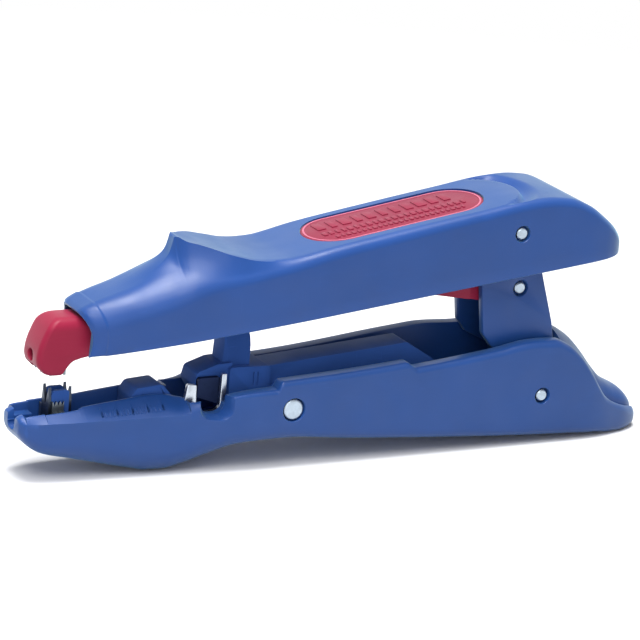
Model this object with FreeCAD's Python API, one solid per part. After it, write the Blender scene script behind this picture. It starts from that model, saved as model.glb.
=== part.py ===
"""Hand tool that strips, crimps and cuts wire: a stapler-like handle over a trough-shaped body.

X runs along the tool, with the jaws at -X and the tail at +X. Y is across and Z is up.
The origin is under the middle of the tool, on the surface that the tool rests on.
The shapes are in millimetres, with the handle at rest, fully open.
"""
import FreeCAD, Part
import math
import os

os.makedirs("parts", exist_ok=True)
V = FreeCAD.Vector

# Overall sizes
TIP_X = -86.6
TAIL_X = 88.4
MIDDLE_X = (TIP_X + TAIL_X) / 2
BODY_HALF = 13.0
HANDLE_HALF = 14.0
HANDLE_TOP = 65.6

# Walls and clearances
BODY_WALL = 4.2
RIM_ROUND = 1.3
FLOOR = 2.0
COVER_WALL = 2.2
COVER_LIP = 1.3
ROOF = 3.0
RUN = 0.05
PRESS = 0.0
SLIP = 0.3
# How far the underside is dressed flat where the tool rests
REST_DEPTH = 0.05

# Pivots, as places in the X and Z plane
HANDLE_PIVOT = (43.9, 56.9)
JAW_PIVOT = (48.5, 40.5)
POST_FOOT = (54.7, 12.9)
LEVER_PIVOT = (-16.5, 15.0)
ROLLER_REST = (-34.0, 41.5)

# Pins
SMALL_PIN = 1.5
LARGE_PIN = 2.6
PIN_RING = 0.6
PIN_RING_DEPTH = 0.9
PIN_SINK = 0.25

# Travel of the handle, and how the jaw and the cutter follow it
HANDLE_TRAVEL = 4.2
JAW_RATIO = 0.92
CUTTER_RATIO = 4.5

# Rear post
POST_HALF = 7.7
CHEEK = 2.2
POST_WEB = 2.2

# Red jaw lever
NOSE_HALF = 5.1
NOSE_SLOT_HALF = 3.4
NOSE_SLOT_TOP = 33.2
BAR_HALF = 6.4
NECK_HALF = POST_HALF - CHEEK - SLIP
NECK_ROUND = 4.2
RAIL_OUT = 8.4
RAIL_IN = 6.7
WINDOW = (-54.0, -22.0)
PUNCH_OUT = 4.4
PUNCH_X = (-79.0, -74.8)
PUNCH_Z = (26.1, 27.6)
JAW_SPRING = (-63.5, 40.4)
JAW_SPRING_TOP = 42.9

# Cutting lever
HUB = 4.6
LEVER_HALF = 4.0
BLOCK_HALF = 5.0
ARM_HALF = 3.0
ROLLER = 2.4
ROLLER_PIN = 1.2
RIB_IN = 3.4
RIB_OUT = 5.4
SPRING_X = -27.0
SPRING_SEAT = 9.4
SPRING_TOP = 18.0

# Jaw inserts
BLADE = 0.7
FRONT_BLADE_X = -77.9
REAR_BLADE_X = -72.6
UPPER_BLADE_X = -80.3
HORN_TOP = 22.2
HOLDER_HALF = 2.2
WIRE_SLOT = 1.2
DIE_HALF = 3.0
DIE_FLANGE = 5.2
POCKET_HALF = DIE_FLANGE + SLIP
POCKET_FLOOR = 12.2
INSERT_TOP = 21.4
ANVIL_Y = (-6.9, -5.6)
CUTTER_BLADE_Y = (-5.4, -4.0)

# Length stop
CHANNEL_HALF = 4.3
CHANNEL_FLOOR = 12.6
CHANNEL_X = (-70.4, -43.8)
TONGUE = 1.1
TONGUE_Z = (13.5, 14.7)
STOP_X = (-57.0, -45.6)

# Label field on the handle
LABEL_FRONT = (-10.9, 55.9)
LABEL_REAR = (38.3, 64.0)
LABEL_WIDTH = 19.0
LABEL_THICK = 1.2
LABEL_SINK = 0.3


def turned(point, pivot, degrees):
    """Place of a point in the X and Z plane after a closing turn about a pivot."""
    a = math.radians(degrees)
    x, z = point[0] - pivot[0], point[1] - pivot[1]
    return (pivot[0] + x * math.cos(a) - z * math.sin(a), pivot[1] + x * math.sin(a) + z * math.cos(a))


def rounded_wire(corners, place):
    """Closed wire through corners (u, v, radius); place turns (u, v) into a vector."""
    count = len(corners)
    starts, ends, middles = [], [], []
    for i, (u, v, radius) in enumerate(corners):
        before, after = corners[i - 1], corners[(i + 1) % count]
        here = V(u, v, 0)
        back = (V(before[0], before[1], 0) - here).normalize()
        on = (V(after[0], after[1], 0) - here).normalize()
        if radius <= 0:
            starts.append(here)
            ends.append(here)
            middles.append(None)
            continue
        half = back.getAngle(on) / 2
        reach = radius / math.tan(half)
        bisector = (back + on).normalize()
        centre = here + bisector * (radius / math.sin(half))
        starts.append(here + back * reach)
        ends.append(here + on * reach)
        middles.append(centre - bisector * radius)
    edges = []
    for i in range(count):
        if middles[i] is not None:
            points = [place(p.x, p.y) for p in (starts[i], middles[i], ends[i])]
            edges.append(Part.Arc(*points).toShape())
        a, b = place(ends[i].x, ends[i].y), place(starts[(i + 1) % count].x, starts[(i + 1) % count].y)
        if a.distanceToPoint(b) > 1e-4:
            edges.append(Part.makeLine(a, b))
    return Part.Wire(edges)


def side_plate(corners, y0, y1):
    """Solid with an outline in the X and Z plane, from y0 to y1."""
    face = Part.Face(rounded_wire(corners, lambda u, v: V(u, y0, v)))
    return face.extrude(V(0, y1 - y0, 0))


def cross_plate(corners, x0, x1):
    """Solid with an outline in the Y and Z plane, from x0 to x1."""
    face = Part.Face(rounded_wire(corners, lambda u, v: V(x0, u, v)))
    return face.extrude(V(x1 - x0, 0, 0))


def floor_plate(corners, z0, z1):
    """Solid with an outline in the X and Y plane, from z0 to z1."""
    face = Part.Face(rounded_wire(corners, lambda u, v: V(u, v, z0)))
    return face.extrude(V(0, 0, z1 - z0))


def box(x0, x1, y0, y1, z0, z1):
    return Part.makeBox(x1 - x0, y1 - y0, z1 - z0, V(x0, y0, z0))


def cross_rod(centre, radius, y0, y1):
    """Round bar along Y at a place in the X and Z plane."""
    return Part.makeCylinder(radius, y1 - y0, V(centre[0], y0, centre[1]), V(0, 1, 0))


def mirror_y(shape):
    return shape.mirror(V(0, 0, 0), V(0, 1, 0))


def both_sides(shape):
    return shape.fuse(mirror_y(shape))


def fuse_all(first, *others):
    return first.fuse(list(others)).removeSplitter()


def one_solid(shape):
    """The largest solid of a shape, cleaned of seams."""
    return max(shape.Solids, key=lambda s: s.Volume)


def save(name, shape):
    """Write a shape, moved so that the origin is under the middle of the tool."""
    moved = shape.copy()
    moved.translate(V(-MIDDLE_X, 0, 0))
    moved.exportStep("parts/" + name + ".step")


def pin_recess(centre, radius, half):
    """Ring-shaped sinkings round a pin's two ends in walls that end at +half and -half."""
    ring = cross_rod(centre, radius + PIN_RING, half - PIN_RING_DEPTH, half + 5)
    return both_sides(ring)


def pin(centre, radius, half):
    """Headless pin with chamfered ends."""
    length = 2 * (half - PIN_SINK)
    rod = cross_rod(centre, radius, -length / 2, length / 2)
    return rod.makeChamfer(0.2, [e for e in rod.Edges if e.Closed])


def body_section(x, half, bottom, top, low_round, high_round):
    """Rounded cross-section of the lower body."""
    corners = [(-half, bottom, low_round), (half, bottom, low_round),
               (half, top, high_round), (-half, top, high_round)]
    return rounded_wire(corners, lambda u, v: V(x, u, v))


# Cross-sections of the lower body: x, half width, underside, rim, lower and upper rounding
BODY_STATIONS = [
    (TIP_X, 5.0, 11.6, 15.6, 1.6, 1.0),
    (-85.0, 6.4, 9.6, 16.2, 2.4, 1.6),
    (-81.0, 7.8, 6.9, 16.5, 3.2, 2.6),
    (-57.0, 9.7, 0.8, 18.0, 3.4, 3.8),
    (-53.0, 10.0, -REST_DEPTH, 17.8, 3.3, 3.6),
    (-49.0, 10.3, -REST_DEPTH, 17.5, 3.2, 3.4),
    (-40.0, 11.4, 2.5, 17.3, 2.6, RIM_ROUND + 0.8),
    (-32.0, 12.4, 5.6, 19.4, 2.4, RIM_ROUND),
    (-24.0, BODY_HALF - 0.1, 7.4, 20.3, 2.4, RIM_ROUND),
    (0.0, BODY_HALF, 5.8, 21.6, 2.4, RIM_ROUND),
    (52.0, BODY_HALF, 2.6, 26.9, 2.4, RIM_ROUND),
    (59.0, BODY_HALF, 2.2, 26.4, 2.4, RIM_ROUND),
    (65.0, BODY_HALF - 0.1, 1.8, 22.8, 2.4, RIM_ROUND),
    (71.0, BODY_HALF - 0.4, 1.3, 15.6, 2.2, RIM_ROUND),
    (76.0, BODY_HALF - 1.4, 0.5, 10.0, 2.0, RIM_ROUND),
    (79.5, 10.8, -REST_DEPTH, 8.2, 2.0, 1.6),
    (83.5, 9.2, -REST_DEPTH, 7.1, 2.0, 1.6),
    (86.5, 7.5, 0.6, 6.6, 1.8, 1.4),
    (TAIL_X, 4.2, 1.7, 5.7, 1.2, 1.2),
]


def body_bottom(x):
    """Height of the underside at a place along the tool."""
    for a, b in zip(BODY_STATIONS, BODY_STATIONS[1:]):
        if a[0] <= x <= b[0]:
            share = (x - a[0]) / (b[0] - a[0])
            return a[2] + share * (b[2] - a[2])
    return 0.0


def loft_through(wires):
    """Solid with straight rulings from each cross-section to the next."""
    return Part.makeLoft(wires, True, True)


def make_lower_body():
    body = loft_through([body_section(*s) for s in BODY_STATIONS])
    # Flat faces that the tool rests on
    body = body.cut(box(TIP_X, TAIL_X, -20, 20, -5, 0))
    inner = BODY_HALF - BODY_WALL

    # Raised stretch of both rims, longer on the far side
    outer = BODY_HALF - 0.05
    near = [(-21.0, 18.0, 0), (-20.4, 22.4, 0.8), (13.5, 25.2, 0.8), (17.7, 20.0, 0)]
    far = [(-21.0, 18.0, 0), (-20.4, 22.4, 0.8), (26.0, 27.4, 0), (44.0, 26.9, 0.8), (48.0, 22.0, 0)]
    for outline, side in ((near, -1), (far, 1)):
        plate = side_plate(outline, *sorted((side * inner, side * outer)))
        edges = [e for e in plate.Edges
                 if all(abs(v.Y - side * outer) < 0.01 and v.Z > 21.9 for v in e.Vertexes)]
        body = body.fuse(plate.makeFillet(RIM_ROUND - 0.1, edges))

    # Crowned tongue at the tail
    tongue_profile = [(56.0, 4.0, 0), (56.0, 17.0, 0), (66.0, 15.8, 6), (79.0, 12.4, 12), (85.4, 9.8, 3),
                      (87.4, 6.4, 1), (87.4, 3.4, 0)]
    crown = side_plate(tongue_profile, -7.4, 7.4)
    crown_edges = [e for e in crown.Edges if all(abs(v.Y) > 7.3 and v.Z > 6 and v.X > 58 for v in e.Vertexes)]
    body = body.fuse(crown.makeFillet(3.4, crown_edges))

    # Trough for the mechanism
    trough = [(-43.6, 30, 0), (-43.6, body_bottom(-42) + FLOOR, 1.5), (-33.0, body_bottom(-33) + FLOOR, 8),
              (-20.0, body_bottom(-20) + FLOOR, 12), (61.4, body_bottom(61) + FLOOR, 1.5), (61.4, 30, 0)]
    body = body.cut(side_plate(trough, -inner, inner))
    # The tongue's front, rounded down into the trough
    body = body.cut(box(50, 61.4, -inner, inner, body_bottom(61) + FLOOR, 40))

    # Seat of the return spring
    body = body.fuse(Part.makeCylinder(3.4, 3.4, V(SPRING_X, 0, SPRING_SEAT - 3.4)))

    # Wire groove through the tip, and the wider recess above it
    groove = [(-2.2, 30, 0), (-2.2, 11.9, 1.8), (2.2, 11.9, 1.8), (2.2, 30, 0)]
    body = body.cut(cross_plate(groove, TIP_X - 1, CHANNEL_X[0] + 1))
    recess = [(TIP_X + 1.6, -4.9, 1.5), (-70.0, -4.9, 0.5), (-70.0, 4.9, 0.5), (TIP_X + 1.6, 4.9, 1.5)]
    body = body.cut(floor_plate(recess, 14.5, 30))
    # Pocket for the blades and the crimp die
    pocket = [(-80.2, -POCKET_HALF, 0.8), (-71.4, -POCKET_HALF, 0.8), (-71.4, POCKET_HALF, 0.8),
              (-80.2, POCKET_HALF, 0.8)]
    body = body.cut(floor_plate(pocket, POCKET_FLOOR, 30))

    # Channel of the length stop, with a groove for its tongues
    body = body.cut(box(CHANNEL_X[0], CHANNEL_X[1] + 1, -CHANNEL_HALF, CHANNEL_HALF, CHANNEL_FLOOR, 30))
    groove_half = CHANNEL_HALF + TONGUE
    body = body.cut(box(CHANNEL_X[0], CHANNEL_X[1] + 1, -groove_half, groove_half,
                        TONGUE_Z[0] - SLIP, TONGUE_Z[1] + SLIP))

    # Thicker wall that carries the cutter's steel anvil
    seat_wall = box(-43.9, -31.6, -inner - 1.5, ANVIL_Y[1], 4.0, 16.8)
    body = body.fuse(seat_wall)
    # Side notch of the wire cutter, flared towards the outside
    notch_in = [(-40.2, 30, 0), (-40.2, 14.5, 2.4), (-33.9, 14.5, 2.4), (-33.9, 30, 0)]
    body = body.cut(side_plate(notch_in, -BODY_HALF - 1, 0))
    outside = [(-44.0, 30, 0), (-44.0, 12.9, 3.6), (-32.0, 12.9, 3.6), (-32.0, 30, 0)]
    outer_wire = rounded_wire(outside, lambda u, v: V(u, -BODY_HALF - 0.2, v))
    inner_wire = rounded_wire(notch_in, lambda u, v: V(u, -8.4, v))
    body = body.cut(Part.makeLoft([outer_wire, inner_wire], True, True))
    # Seat of the anvil
    body = body.cut(box(-44.0, -31.8, ANVIL_Y[0], ANVIL_Y[1], 8.0, 30))

    # Bosses that carry the pins, and the pins' bores
    for place, radius, gap in ((POST_FOOT, 4.2, POST_HALF), (LEVER_PIVOT, HUB, LEVER_HALF + 1.0 + SLIP)):
        boss = cross_rod(place, radius, gap, inner + 0.5)
        body = body.fuse(both_sides(boss))
    body = body.cut(cross_rod(POST_FOOT, SMALL_PIN + PRESS, -20, 20))
    body = body.cut(cross_rod(LEVER_PIVOT, LARGE_PIN + PRESS, -20, 20))
    body = body.cut(pin_recess(POST_FOOT, SMALL_PIN, BODY_HALF))
    body = body.cut(pin_recess(LEVER_PIVOT, LARGE_PIN - 0.2, BODY_HALF))
    return one_solid(body.removeSplitter())


# Cross-sections of the handle cover: x, half width, top, shoulder radius
COVER_STATIONS = [
    (-70.6, 8.4, 42.9, 4.0),
    (-66.0, 9.9, 45.3, 4.0),
    (-58.0, 11.2, 47.9, 3.6),
    (-48.0, 12.4, 50.3, 3.4),
    (-32.0, 13.4, 52.0, 3.2),
    (-8.0, HANDLE_HALF, 56.3, 3.0),
    (46.0, HANDLE_HALF, 65.4, 3.6),
    (55.0, HANDLE_HALF, HANDLE_TOP, 4.4),
    (62.0, HANDLE_HALF - 0.2, 63.4, 5.4),
    (69.0, HANDLE_HALF - 1.6, 58.6, 4.6),
    (74.0, HANDLE_HALF - 4.4, 54.9, 2.4),
    (76.6, HANDLE_HALF - 7.4, 52.6, 1.0),
]
# The cover's lower edge is one straight line: its height over the origin, and its slope
COVER_EDGE = (40.0, 0.1228)
# The front of the cover thins out to a lip between these places
LIP_X = (-70.6, -54.0)

# Thumb guard: x, half width of its top, its top, half width and height where its flank starts
GUARD_STATIONS = [
    (-55.0, 2.4, 49.3, 8.0, 47.2),
    (-50.2, 2.4, 51.6, 8.4, 48.6),
    (-48.6, 2.3, 53.4, 8.6, 49.2),
    (-47.9, 2.2, 58.5, 8.8, 49.4),
    (-45.8, 3.9, 59.2, 9.0, 49.8),
    (-38.0, 6.9, 57.1, 9.6, 50.4),
    (-25.0, 8.6, 54.6, 10.4, 51.8),
    (-8.0, 10.6, 55.9, 11.0, 54.6),
]


def cover_edge(x):
    """Height of the handle cover's lower edge."""
    return COVER_EDGE[0] + COVER_EDGE[1] * x


def cover_walls(x):
    """Thickness of the cover's side wall and roof, thinner towards the front lip."""
    share = min(max((x - LIP_X[0]) / (LIP_X[1] - LIP_X[0]), 0), 1)
    return COVER_LIP + share * (COVER_WALL - COVER_LIP), COVER_LIP + share * (ROOF - COVER_LIP)


def cover_section(x, half, top, radius, side=0.0, roof=0.0, drop=0.0):
    """Cross-section of the handle, drawn in by a wall at the sides and the roof."""
    corner = max(radius - side, 0.8)
    bottom = cover_edge(x)
    corners = [(-half + side, bottom - drop, 0), (half - side, bottom - drop, 0),
               (half - side, top - roof, corner), (-half + side, top - roof, corner)]
    return rounded_wire(corners, lambda u, v: V(x, u, v))


def guard_section(x, top_half, top, foot_half, foot):
    """Cross-section of the thumb guard, with hollowed flanks."""
    middle = ((top_half + foot_half) / 2 - 0.7, (top + foot) / 2 - 0.6)
    rights = [V(x, foot_half, foot), V(x, middle[0], middle[1]), V(x, top_half, top - 0.7), V(x, top_half - 0.5, top)]
    lefts = [V(p.x, -p.y, p.z) for p in reversed(rights)]
    edges = [Part.Arc(*rights[:3]).toShape(), Part.makeLine(rights[2], rights[3]),
             Part.makeLine(rights[3], lefts[0]), Part.makeLine(lefts[0], lefts[1]),
             Part.Arc(*lefts[1:]).toShape()]
    below_left, below_right = V(x, -foot_half, foot - 3), V(x, foot_half, foot - 3)
    edges += [Part.makeLine(lefts[3], below_left), Part.makeLine(below_left, below_right),
              Part.makeLine(below_right, rights[0])]
    return Part.Wire(edges)


def roller_path(steps=6):
    """Places of the roller's centre in the handle's own frame, from rest to the full squeeze."""
    places = []
    for i in range(steps + 1):
        squeeze = HANDLE_TRAVEL * i / steps
        world = turned(ROLLER_REST, LEVER_PIVOT, CUTTER_RATIO * squeeze)
        places.append(turned(world, HANDLE_PIVOT, -squeeze))
    return places


def slot_along(places, radius, y0, y1):
    """Slot cut by a round bar that moves along a line of places."""
    slot = cross_rod(places[0], radius, y0, y1)
    for a, b in zip(places, places[1:]):
        along = V(b[0] - a[0], 0, b[1] - a[1]).normalize()
        across = V(-along.z, 0, along.x) * radius
        start, end = V(a[0], y0, a[1]), V(b[0], y0, b[1])
        wire = Part.makePolygon([start + across, end + across, end - across, start - across, start + across])
        slot = slot.fuse([Part.Face(wire).extrude(V(0, y1 - y0, 0)), cross_rod(b, radius, y0, y1)])
    return slot.removeSplitter()


def label_frame():
    """Middle, length and tilt of the label field."""
    dx, dz = LABEL_REAR[0] - LABEL_FRONT[0], LABEL_REAR[1] - LABEL_FRONT[1]
    middle = V((LABEL_FRONT[0] + LABEL_REAR[0]) / 2, 0, (LABEL_FRONT[1] + LABEL_REAR[1]) / 2)
    return middle, math.hypot(dx, dz), -math.degrees(math.atan2(dz, dx))


def stadium(length, width, below, above):
    """Round-ended plate on the label's slope, between two heights from it."""
    middle, _, tilt = label_frame()
    reach, half = length / 2 - width / 2, width / 2
    edges = [Part.makeLine(V(-reach, -half, below), V(reach, -half, below)),
             Part.Arc(V(reach, -half, below), V(reach + half, 0, below), V(reach, half, below)).toShape(),
             Part.makeLine(V(reach, half, below), V(-reach, half, below)),
             Part.Arc(V(-reach, half, below), V(-reach - half, 0, below), V(-reach, -half, below)).toShape()]
    plate = Part.Face(Part.Wire(edges)).extrude(V(0, 0, above - below))
    plate.rotate(V(0, 0, 0), V(0, 1, 0), tilt)
    plate.translate(middle)
    return plate


def make_handle_cover():
    cover = loft_through([cover_section(*s) for s in COVER_STATIONS])
    guard = loft_through([guard_section(*s) for s in GUARD_STATIONS])
    cover = cover.fuse(guard)

    front = COVER_STATIONS[0]
    inside = [(front[0] - 4,) + front[1:]] + [s for s in COVER_STATIONS if s[0] < 70]
    hollow = loft_through([cover_section(*s, *cover_walls(s[0]), drop=6) for s in inside])
    cover = cover.cut(hollow)

    # Ribs that hold the cutting lever's rollers
    path = roller_path()
    rib = [(path[-1][0] - 5.2, path[-1][1] - 4.4, 2), (path[0][0] + 5.2, path[0][1] - 4.4, 2),
           (path[0][0] + 5.2, 50.5, 0), (path[-1][0] - 5.2, 50.5, 0)]
    ribs = both_sides(side_plate(rib, RIB_IN, RIB_OUT))
    cover = cover.fuse(ribs)
    cover = cover.cut(slot_along(path, ROLLER + SLIP, -RIB_OUT - 1, RIB_OUT + 1))

    # Bosses of the pivot pin, and stiffening ribs across the roof
    boss = cross_rod(HANDLE_PIVOT, 4.4, POST_HALF + SLIP, HANDLE_HALF - 1)
    cover = cover.fuse(both_sides(boss))
    for x in (4.0, 16.0, 28.0):
        depth = 52.5 + 0.16 * x
        cover = cover.fuse(box(x, x + 1.6, -HANDLE_HALF + 1, HANDLE_HALF - 1, depth, depth + 3.5))
    cover = cover.cut(cross_rod(HANDLE_PIVOT, SMALL_PIN + PRESS, -20, 20))
    cover = cover.cut(pin_recess(HANDLE_PIVOT, SMALL_PIN, HANDLE_HALF))

    # Sunk field of the label
    _, length, _ = label_frame()
    cover = cover.cut(stadium(length, LABEL_WIDTH, -LABEL_THICK - LABEL_SINK, 8))
    return one_solid(cover.removeSplitter())


def make_label_plate():
    _, length, _ = label_frame()
    gap = 0.15
    return stadium(length - 2 * gap, LABEL_WIDTH - 2 * gap, -LABEL_THICK - LABEL_SINK, -LABEL_SINK)


def make_rear_post():
    rear_edge = [(60.4, 22.0, 3), (58.7, 30.9, 6), (54.6, 44.1, 8), (50.4, 57.0, 3)]
    outline = [(49.4, 9.8, 1.0), (60.4, 8.4, 1.0)] + rear_edge + [
        (47.4, 61.4, 3.0), (40.6, 60.2, 3.0), (38.2, 53.0, 4), (36.0, 42.3, 4), (37.0, 29.8, 1.5), (49.4, 21.5, 3.0)]
    block = side_plate(outline, -POST_HALF, POST_HALF)
    inside = POST_HALF - CHEEK
    web_front = [(x - POST_WEB, z, r) for x, z, r in rear_edge[:3]]
    opening = [(30.0, 0.0, 0), (58.2, 0.0, 0)] + web_front + [(50.6, 50.0, 0), (60.0, 50.0, 0), (60.0, 70.0, 0),
                                                           (30.0, 70.0, 0)]
    post = block.cut(side_plate(opening, -inside, inside))
    post = post.cut(cross_rod(HANDLE_PIVOT, SMALL_PIN + RUN, -20, 20))
    post = post.cut(cross_rod(JAW_PIVOT, SMALL_PIN + PRESS, -20, 20))
    post = post.cut(cross_rod(POST_FOOT, SMALL_PIN + PRESS, -20, 20))
    post = post.cut(pin_recess(JAW_PIVOT, SMALL_PIN, POST_HALF))
    return one_solid(post.removeSplitter())


def make_jaw_lever():
    """Red lever: the nose in front, a bar inside the handle, and a neck at its pivot."""
    nose = [(-78.6, 41.0, 1.6), (-82.7, 30.6, 1.2), (-81.4, 28.2, 0.8), (-80.2, 26.1, 0.6), (-74.0, 26.1, 0.5),
            (-73.0, 29.2, 0.8), (-66.0, 30.9, 1.0), (-62.0, 36.8, 0), (-62.0, 41.0, 0)]
    front = side_plate(nose, -NOSE_HALF, NOSE_HALF)
    ends = [e for e in front.Edges
            if all(abs(abs(v.Y) - NOSE_HALF) < 0.01 and v.X < -75 and v.Z > 30 for v in e.Vertexes)]
    front = front.makeFillet(1.2, ends)

    bar = [(-67.0, 36.2, 0), (-58.0, 36.4, 0), (-22.0, 39.4, 3), (14.0, 43.0, 3), (22.0, 40.4, 3),
           (34.5, 38.2, 0), (34.5, 47.8, 0), (20.0, 50.4, 6), (-22.0, 47.0, 6), (-52.0, 45.6, 4), (-67.0, 41.4, 0)]
    body = side_plate(bar, -BAR_HALF, BAR_HALF)
    frame_x = (WINDOW[0] - 2.5, WINDOW[1] + 2.5)
    frame = side_plate(bar, -RAIL_OUT, RAIL_OUT).common(box(*frame_x, -RAIL_OUT, RAIL_OUT, 30, 60))
    pivot_x, pivot_z = JAW_PIVOT
    neck = [(30.0, 38.9, 0), (38.0, 37.4, 3), (pivot_x, pivot_z - NECK_ROUND, 0), (pivot_x, pivot_z + NECK_ROUND, 0),
            (38.0, 46.6, 3), (30.0, 47.6, 0)]
    eye = cross_rod(JAW_PIVOT, NECK_ROUND, -NECK_HALF, NECK_HALF)
    lever = fuse_all(front, body, frame, side_plate(neck, -NECK_HALF, NECK_HALF), eye)
    lever = lever.cut(box(*WINDOW, -RAIL_IN, RAIL_IN, 30, 60))

    # Hollows in the top of the bar, as moulded bars have, with a cross rib between them
    for x0, x1 in ((-17.0, 3.0), (6.0, 28.0)):
        lever = lever.cut(box(x0, x1, -BAR_HALF + 1.8, BAR_HALF - 1.8, 45.0, 60))
    # Slot over the blades, with the wire's entry through the front face
    lever = lever.cut(box(UPPER_BLADE_X, -70.4, -NOSE_SLOT_HALF, NOSE_SLOT_HALF, 20, NOSE_SLOT_TOP))
    lever = lever.cut(Part.makeCylinder(1.6, 6, V(-85, 0, 30.5), V(1, 0, 0)))
    # Seat of the spring that holds the lever against the handle
    lever = lever.cut(Part.makeCylinder(3.0, 8, V(JAW_SPRING[0], 0, JAW_SPRING[1])))
    lever = lever.cut(cross_rod(JAW_PIVOT, SMALL_PIN + RUN, -20, 20))
    # Seats of the crimp punches in the two cheeks
    seat = box(*PUNCH_X, NOSE_SLOT_HALF - 0.5, PUNCH_OUT, 20, PUNCH_Z[1])
    lever = lever.cut(both_sides(seat))
    return one_solid(lever.removeSplitter())


def make_crimp_punch():
    """Serrated steel strip in a cheek of the nose; a second one mirrors it."""
    strip = box(*PUNCH_X, NOSE_SLOT_HALF, PUNCH_OUT, *PUNCH_Z)
    for i in range(3):
        x = PUNCH_X[0] + 0.5 + 1.2 * i
        tooth = [(x, PUNCH_Z[0] - 0.2, 0), (x + 0.4, PUNCH_Z[0] + 0.5, 0), (x + 0.8, PUNCH_Z[0] - 0.2, 0)]
        strip = strip.cut(side_plate(tooth, 0, 10))
    return strip


def make_upper_blade():
    """Upper stripping blade, hung in the front of the nose's slot."""
    corners = [(-NOSE_SLOT_HALF, NOSE_SLOT_TOP, 0), (-NOSE_SLOT_HALF, 28.4, 0), (-1.8, 26.4, 0), (0.0, 27.0, 0),
               (1.8, 26.4, 0), (NOSE_SLOT_HALF, 28.4, 0), (NOSE_SLOT_HALF, NOSE_SLOT_TOP, 0)]
    return cross_plate(corners, UPPER_BLADE_X, UPPER_BLADE_X + BLADE)


def lower_blade(x):
    """Lower stripping blade with a deep V between two pointed horns."""
    corners = [(-HOLDER_HALF, POCKET_FLOOR, 0), (HOLDER_HALF, POCKET_FLOOR, 0), (HOLDER_HALF, 18.6, 0),
               (1.7, HORN_TOP, 0), (0.0, 17.6, 0), (-1.7, HORN_TOP, 0), (-HOLDER_HALF, 18.6, 0)]
    return cross_plate(corners, x, x + BLADE)


def make_blade_holder():
    x0, x1 = FRONT_BLADE_X + BLADE, REAR_BLADE_X
    outline = [(x0, 13.2, 0), (x1, 13.2, 0), (x1, INSERT_TOP, 0.8), (x0, INSERT_TOP, 1.2)]
    holder = side_plate(outline, -HOLDER_HALF, HOLDER_HALF)
    slot = [(-WIRE_SLOT, 30, 0), (-WIRE_SLOT, 16.0, 1.1), (WIRE_SLOT, 16.0, 1.1), (WIRE_SLOT, 30, 0)]
    holder = holder.cut(cross_plate(slot, x0 - 1, x1 + 1))
    return one_solid(holder)


def make_crimp_die():
    """Serrated steel die: a base, two toothed walls and two grooved flanges."""
    x0, x1 = FRONT_BLADE_X + BLADE, -74.2
    base = box(x0, x1, -DIE_FLANGE, DIE_FLANGE, POCKET_FLOOR, 13.2)
    wall = box(x0, x1, HOLDER_HALF, DIE_HALF, 13.0, 18.8)
    flange = box(x0, x1, HOLDER_HALF, DIE_FLANGE, 13.0, 16.4)
    die = fuse_all(base, both_sides(wall), both_sides(flange))
    for i in range(3):
        x = x0 + 0.05 + 1.0 * i
        top_tooth = [(x, 19.1, 0), (x + 0.5, 17.8, 0), (x + 1.0, 19.1, 0)]
        flange_tooth = [(x, 16.6, 0), (x + 0.45, 15.8, 0), (x + 0.9, 16.6, 0)]
        die = die.cut(side_plate(top_tooth, -DIE_HALF - 0.1, DIE_HALF + 0.1))
        die = die.cut(side_plate(flange_tooth, -DIE_FLANGE - 1, -DIE_HALF))
        die = die.cut(side_plate(flange_tooth, DIE_HALF, DIE_FLANGE + 1))
    return one_solid(die)


def make_cutter_anvil():
    """Steel plate in the side wall: its two horns stand on either side of the wire."""
    outline = [(-44.0, 8.0, 0), (-31.8, 8.0, 0), (-31.8, 23.9, 0.5), (-35.3, 23.9, 0.5), (-34.4, 14.2, 2.5),
               (-40.6, 14.2, 2.5), (-40.6, 21.6, 0.4), (-43.2, 21.9, 0.4), (-44.0, 17.2, 0.5)]
    return side_plate(outline, *ANVIL_Y)


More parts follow.
